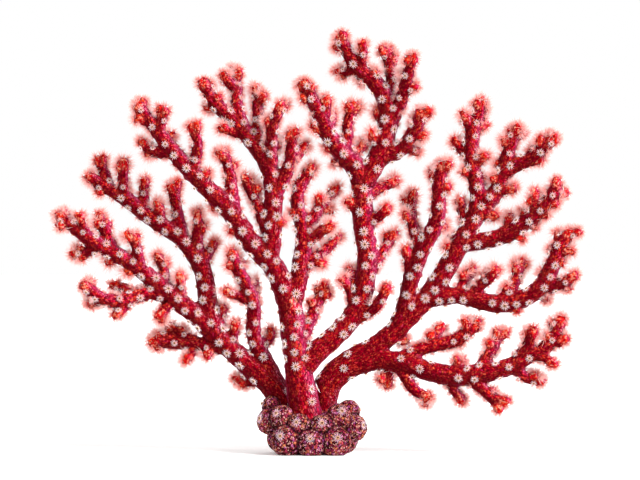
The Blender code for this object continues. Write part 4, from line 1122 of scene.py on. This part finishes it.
# The fringe.
# On the fingers the polyps are small and crowded. Each is a tuft of hair-thin tentacles, salmon where
# they leave the flesh and pale peach at the points. Together they stand off the flesh as a pale halo.

TUFT_REACH = 6.9 * MM
TUFT_HAIRS = 18
HAIR_WIDTH = 0.20 * MM
ROOT_DEPTH = 0.2 * MM


def tuft_template():
    """A tuft: hairs like long thin three-sided thorns, fanned out from one root."""
    shape = bmesh.new()
    rng = np.random.default_rng(11)
    for k in range(TUFT_HAIRS):
        turn = 2 * math.pi * (k + rng.uniform(-0.3, 0.3)) / TUFT_HAIRS
        lean = math.radians(rng.uniform(4, 38) if k % 2 else rng.uniform(38, 74))
        out = Vector((math.cos(turn) * math.sin(lean), math.sin(turn) * math.sin(lean), math.cos(lean)))
        side = out.cross(Vector((0, 1, 0))).normalized()
        ring = three_sided(shape, out * -ROOT_DEPTH, side, side.cross(out), HAIR_WIDTH)
        point = shape.verts.new(out * TUFT_REACH * rng.uniform(0.62, 1.0))
        shape.faces.new(ring)
        for i in range(3):
            shape.faces.new((ring[i], ring[(i + 1) % 3], point))
    return template("tuft", shape, TUFT_REACH, 3)


# Young polyps' tentacles: hair-thin and almost clear, so light glows in them.
HAIR_SURFACE = {"roughness": 0.55, "glow": 0.7, "spread": (1.0, 0.6, 0.5), "depth": 1.0 * MM}
HAIR_COLOURS = ((0.0, "#C82C30"), (0.12, "#E6625E"), (0.30, "#F79E98"), (0.58, "#FFCAC4"), (1.0, "#FFECE8"))

tuft = tuft_template()
fringe = grown_by(object_of("fringe", bare_fan.copy()), polyp_setting, {
    "Room": "fringe_room", "Size": "fringe_size", "Spacing": 1.5 * MM, "Crowding": 1500000.0, "Seed": 17,
    "Lift": 0.0, "Smallest": 0.8, "Largest": 1.12, "Lean": 0.30, "Polyp": tuft, "Raised skin": fan,
    "Material": polyp_tissue("fringe_tissue", HAIR_COLOURS, **HAIR_SURFACE)})
shared_out(fringe, "fringe_polyps")
bpy.data.objects.remove(tuft)
bpy.data.objects.remove(fan)


# The table, the light and the camera.
# A plain pale table in a white room, with one broad key light from the upper right. The table top has a faint
# painted glow that lifts the shadows cast on it. The camera looks straight at the fan from a little above its
# foot.

FLOOR_SIZE = 8.0
TABLE_PAINTED_GLOW = 0.14
KEY_STRENGTH, KEY_WIDTH = 4.35, math.radians(25)
KEY_FROM = Vector((0.85, -0.70, 0.75))
ROOM_LIGHT = 0.92
bpy.ops.mesh.primitive_plane_add(size=FLOOR_SIZE)
floor = bpy.context.object
floor.name = "pale_table"
table_top, tree, shader = new_material("pale_table_top")
# The table's emission is painted light: a faint glow that lifts the shadows on it.
join(tree, shader, {
    "Base Color": paint("#FAFAF9"), "Emission Color": paint("#FFFFFF"), "Emission Strength": TABLE_PAINTED_GLOW,
    "Roughness": 0.9, "Specular IOR Level": 0.1})
floor.data.materials.append(table_top)

sun = bpy.data.lights.new("key", "SUN")
sun.energy = KEY_STRENGTH
sun.angle = KEY_WIDTH
key = object_of("key", sun)
key.rotation_euler = KEY_FROM.to_track_quat("Z", "Y").to_euler()

world = bpy.data.worlds.new("studio")
bpy.context.scene.world = world
world.use_nodes = True
tree = world.node_tree
room = tree.nodes["Background"]
join(tree, room, {"Color": paint("#FFFFFF"), "Strength": ROOM_LIGHT})
backdrop = add(tree, "ShaderNodeBackground", {}, {"Color": paint("#FFFFFF"), "Strength": 1.0})
seen = add(tree, "ShaderNodeLightPath").outputs["Is Camera Ray"]
either = add(tree, "ShaderNodeMixShader", {}, {0: seen, 1: room, 2: backdrop})
join(tree, tree.nodes["World Output"], {"Surface": either})
bpy.context.scene.view_settings.view_transform = "Standard"

CAMERA_LENS = 400.0
SENSOR = 36.0
PHOTO_WIDTH_IN_STEPS = 640
CAMERA_RISE = math.radians(1.5)
PHOTO_MIDDLE = Vector((7.5 * STEP, 0.0, 214 * STEP))
distance = PHOTO_WIDTH_IN_STEPS * STEP * CAMERA_LENS / SENSOR
camera = bpy.data.cameras.new("camera")
camera.lens = CAMERA_LENS
camera.sensor_width = SENSOR
camera.clip_end = 30.0
viewer = object_of("camera", camera)
viewer.location = PHOTO_MIDDLE + Vector((0.0, -math.cos(CAMERA_RISE), math.sin(CAMERA_RISE))) * distance
viewer.rotation_euler = (math.pi / 2 - CAMERA_RISE, 0.0, 0.0)
bpy.context.scene.camera = viewer
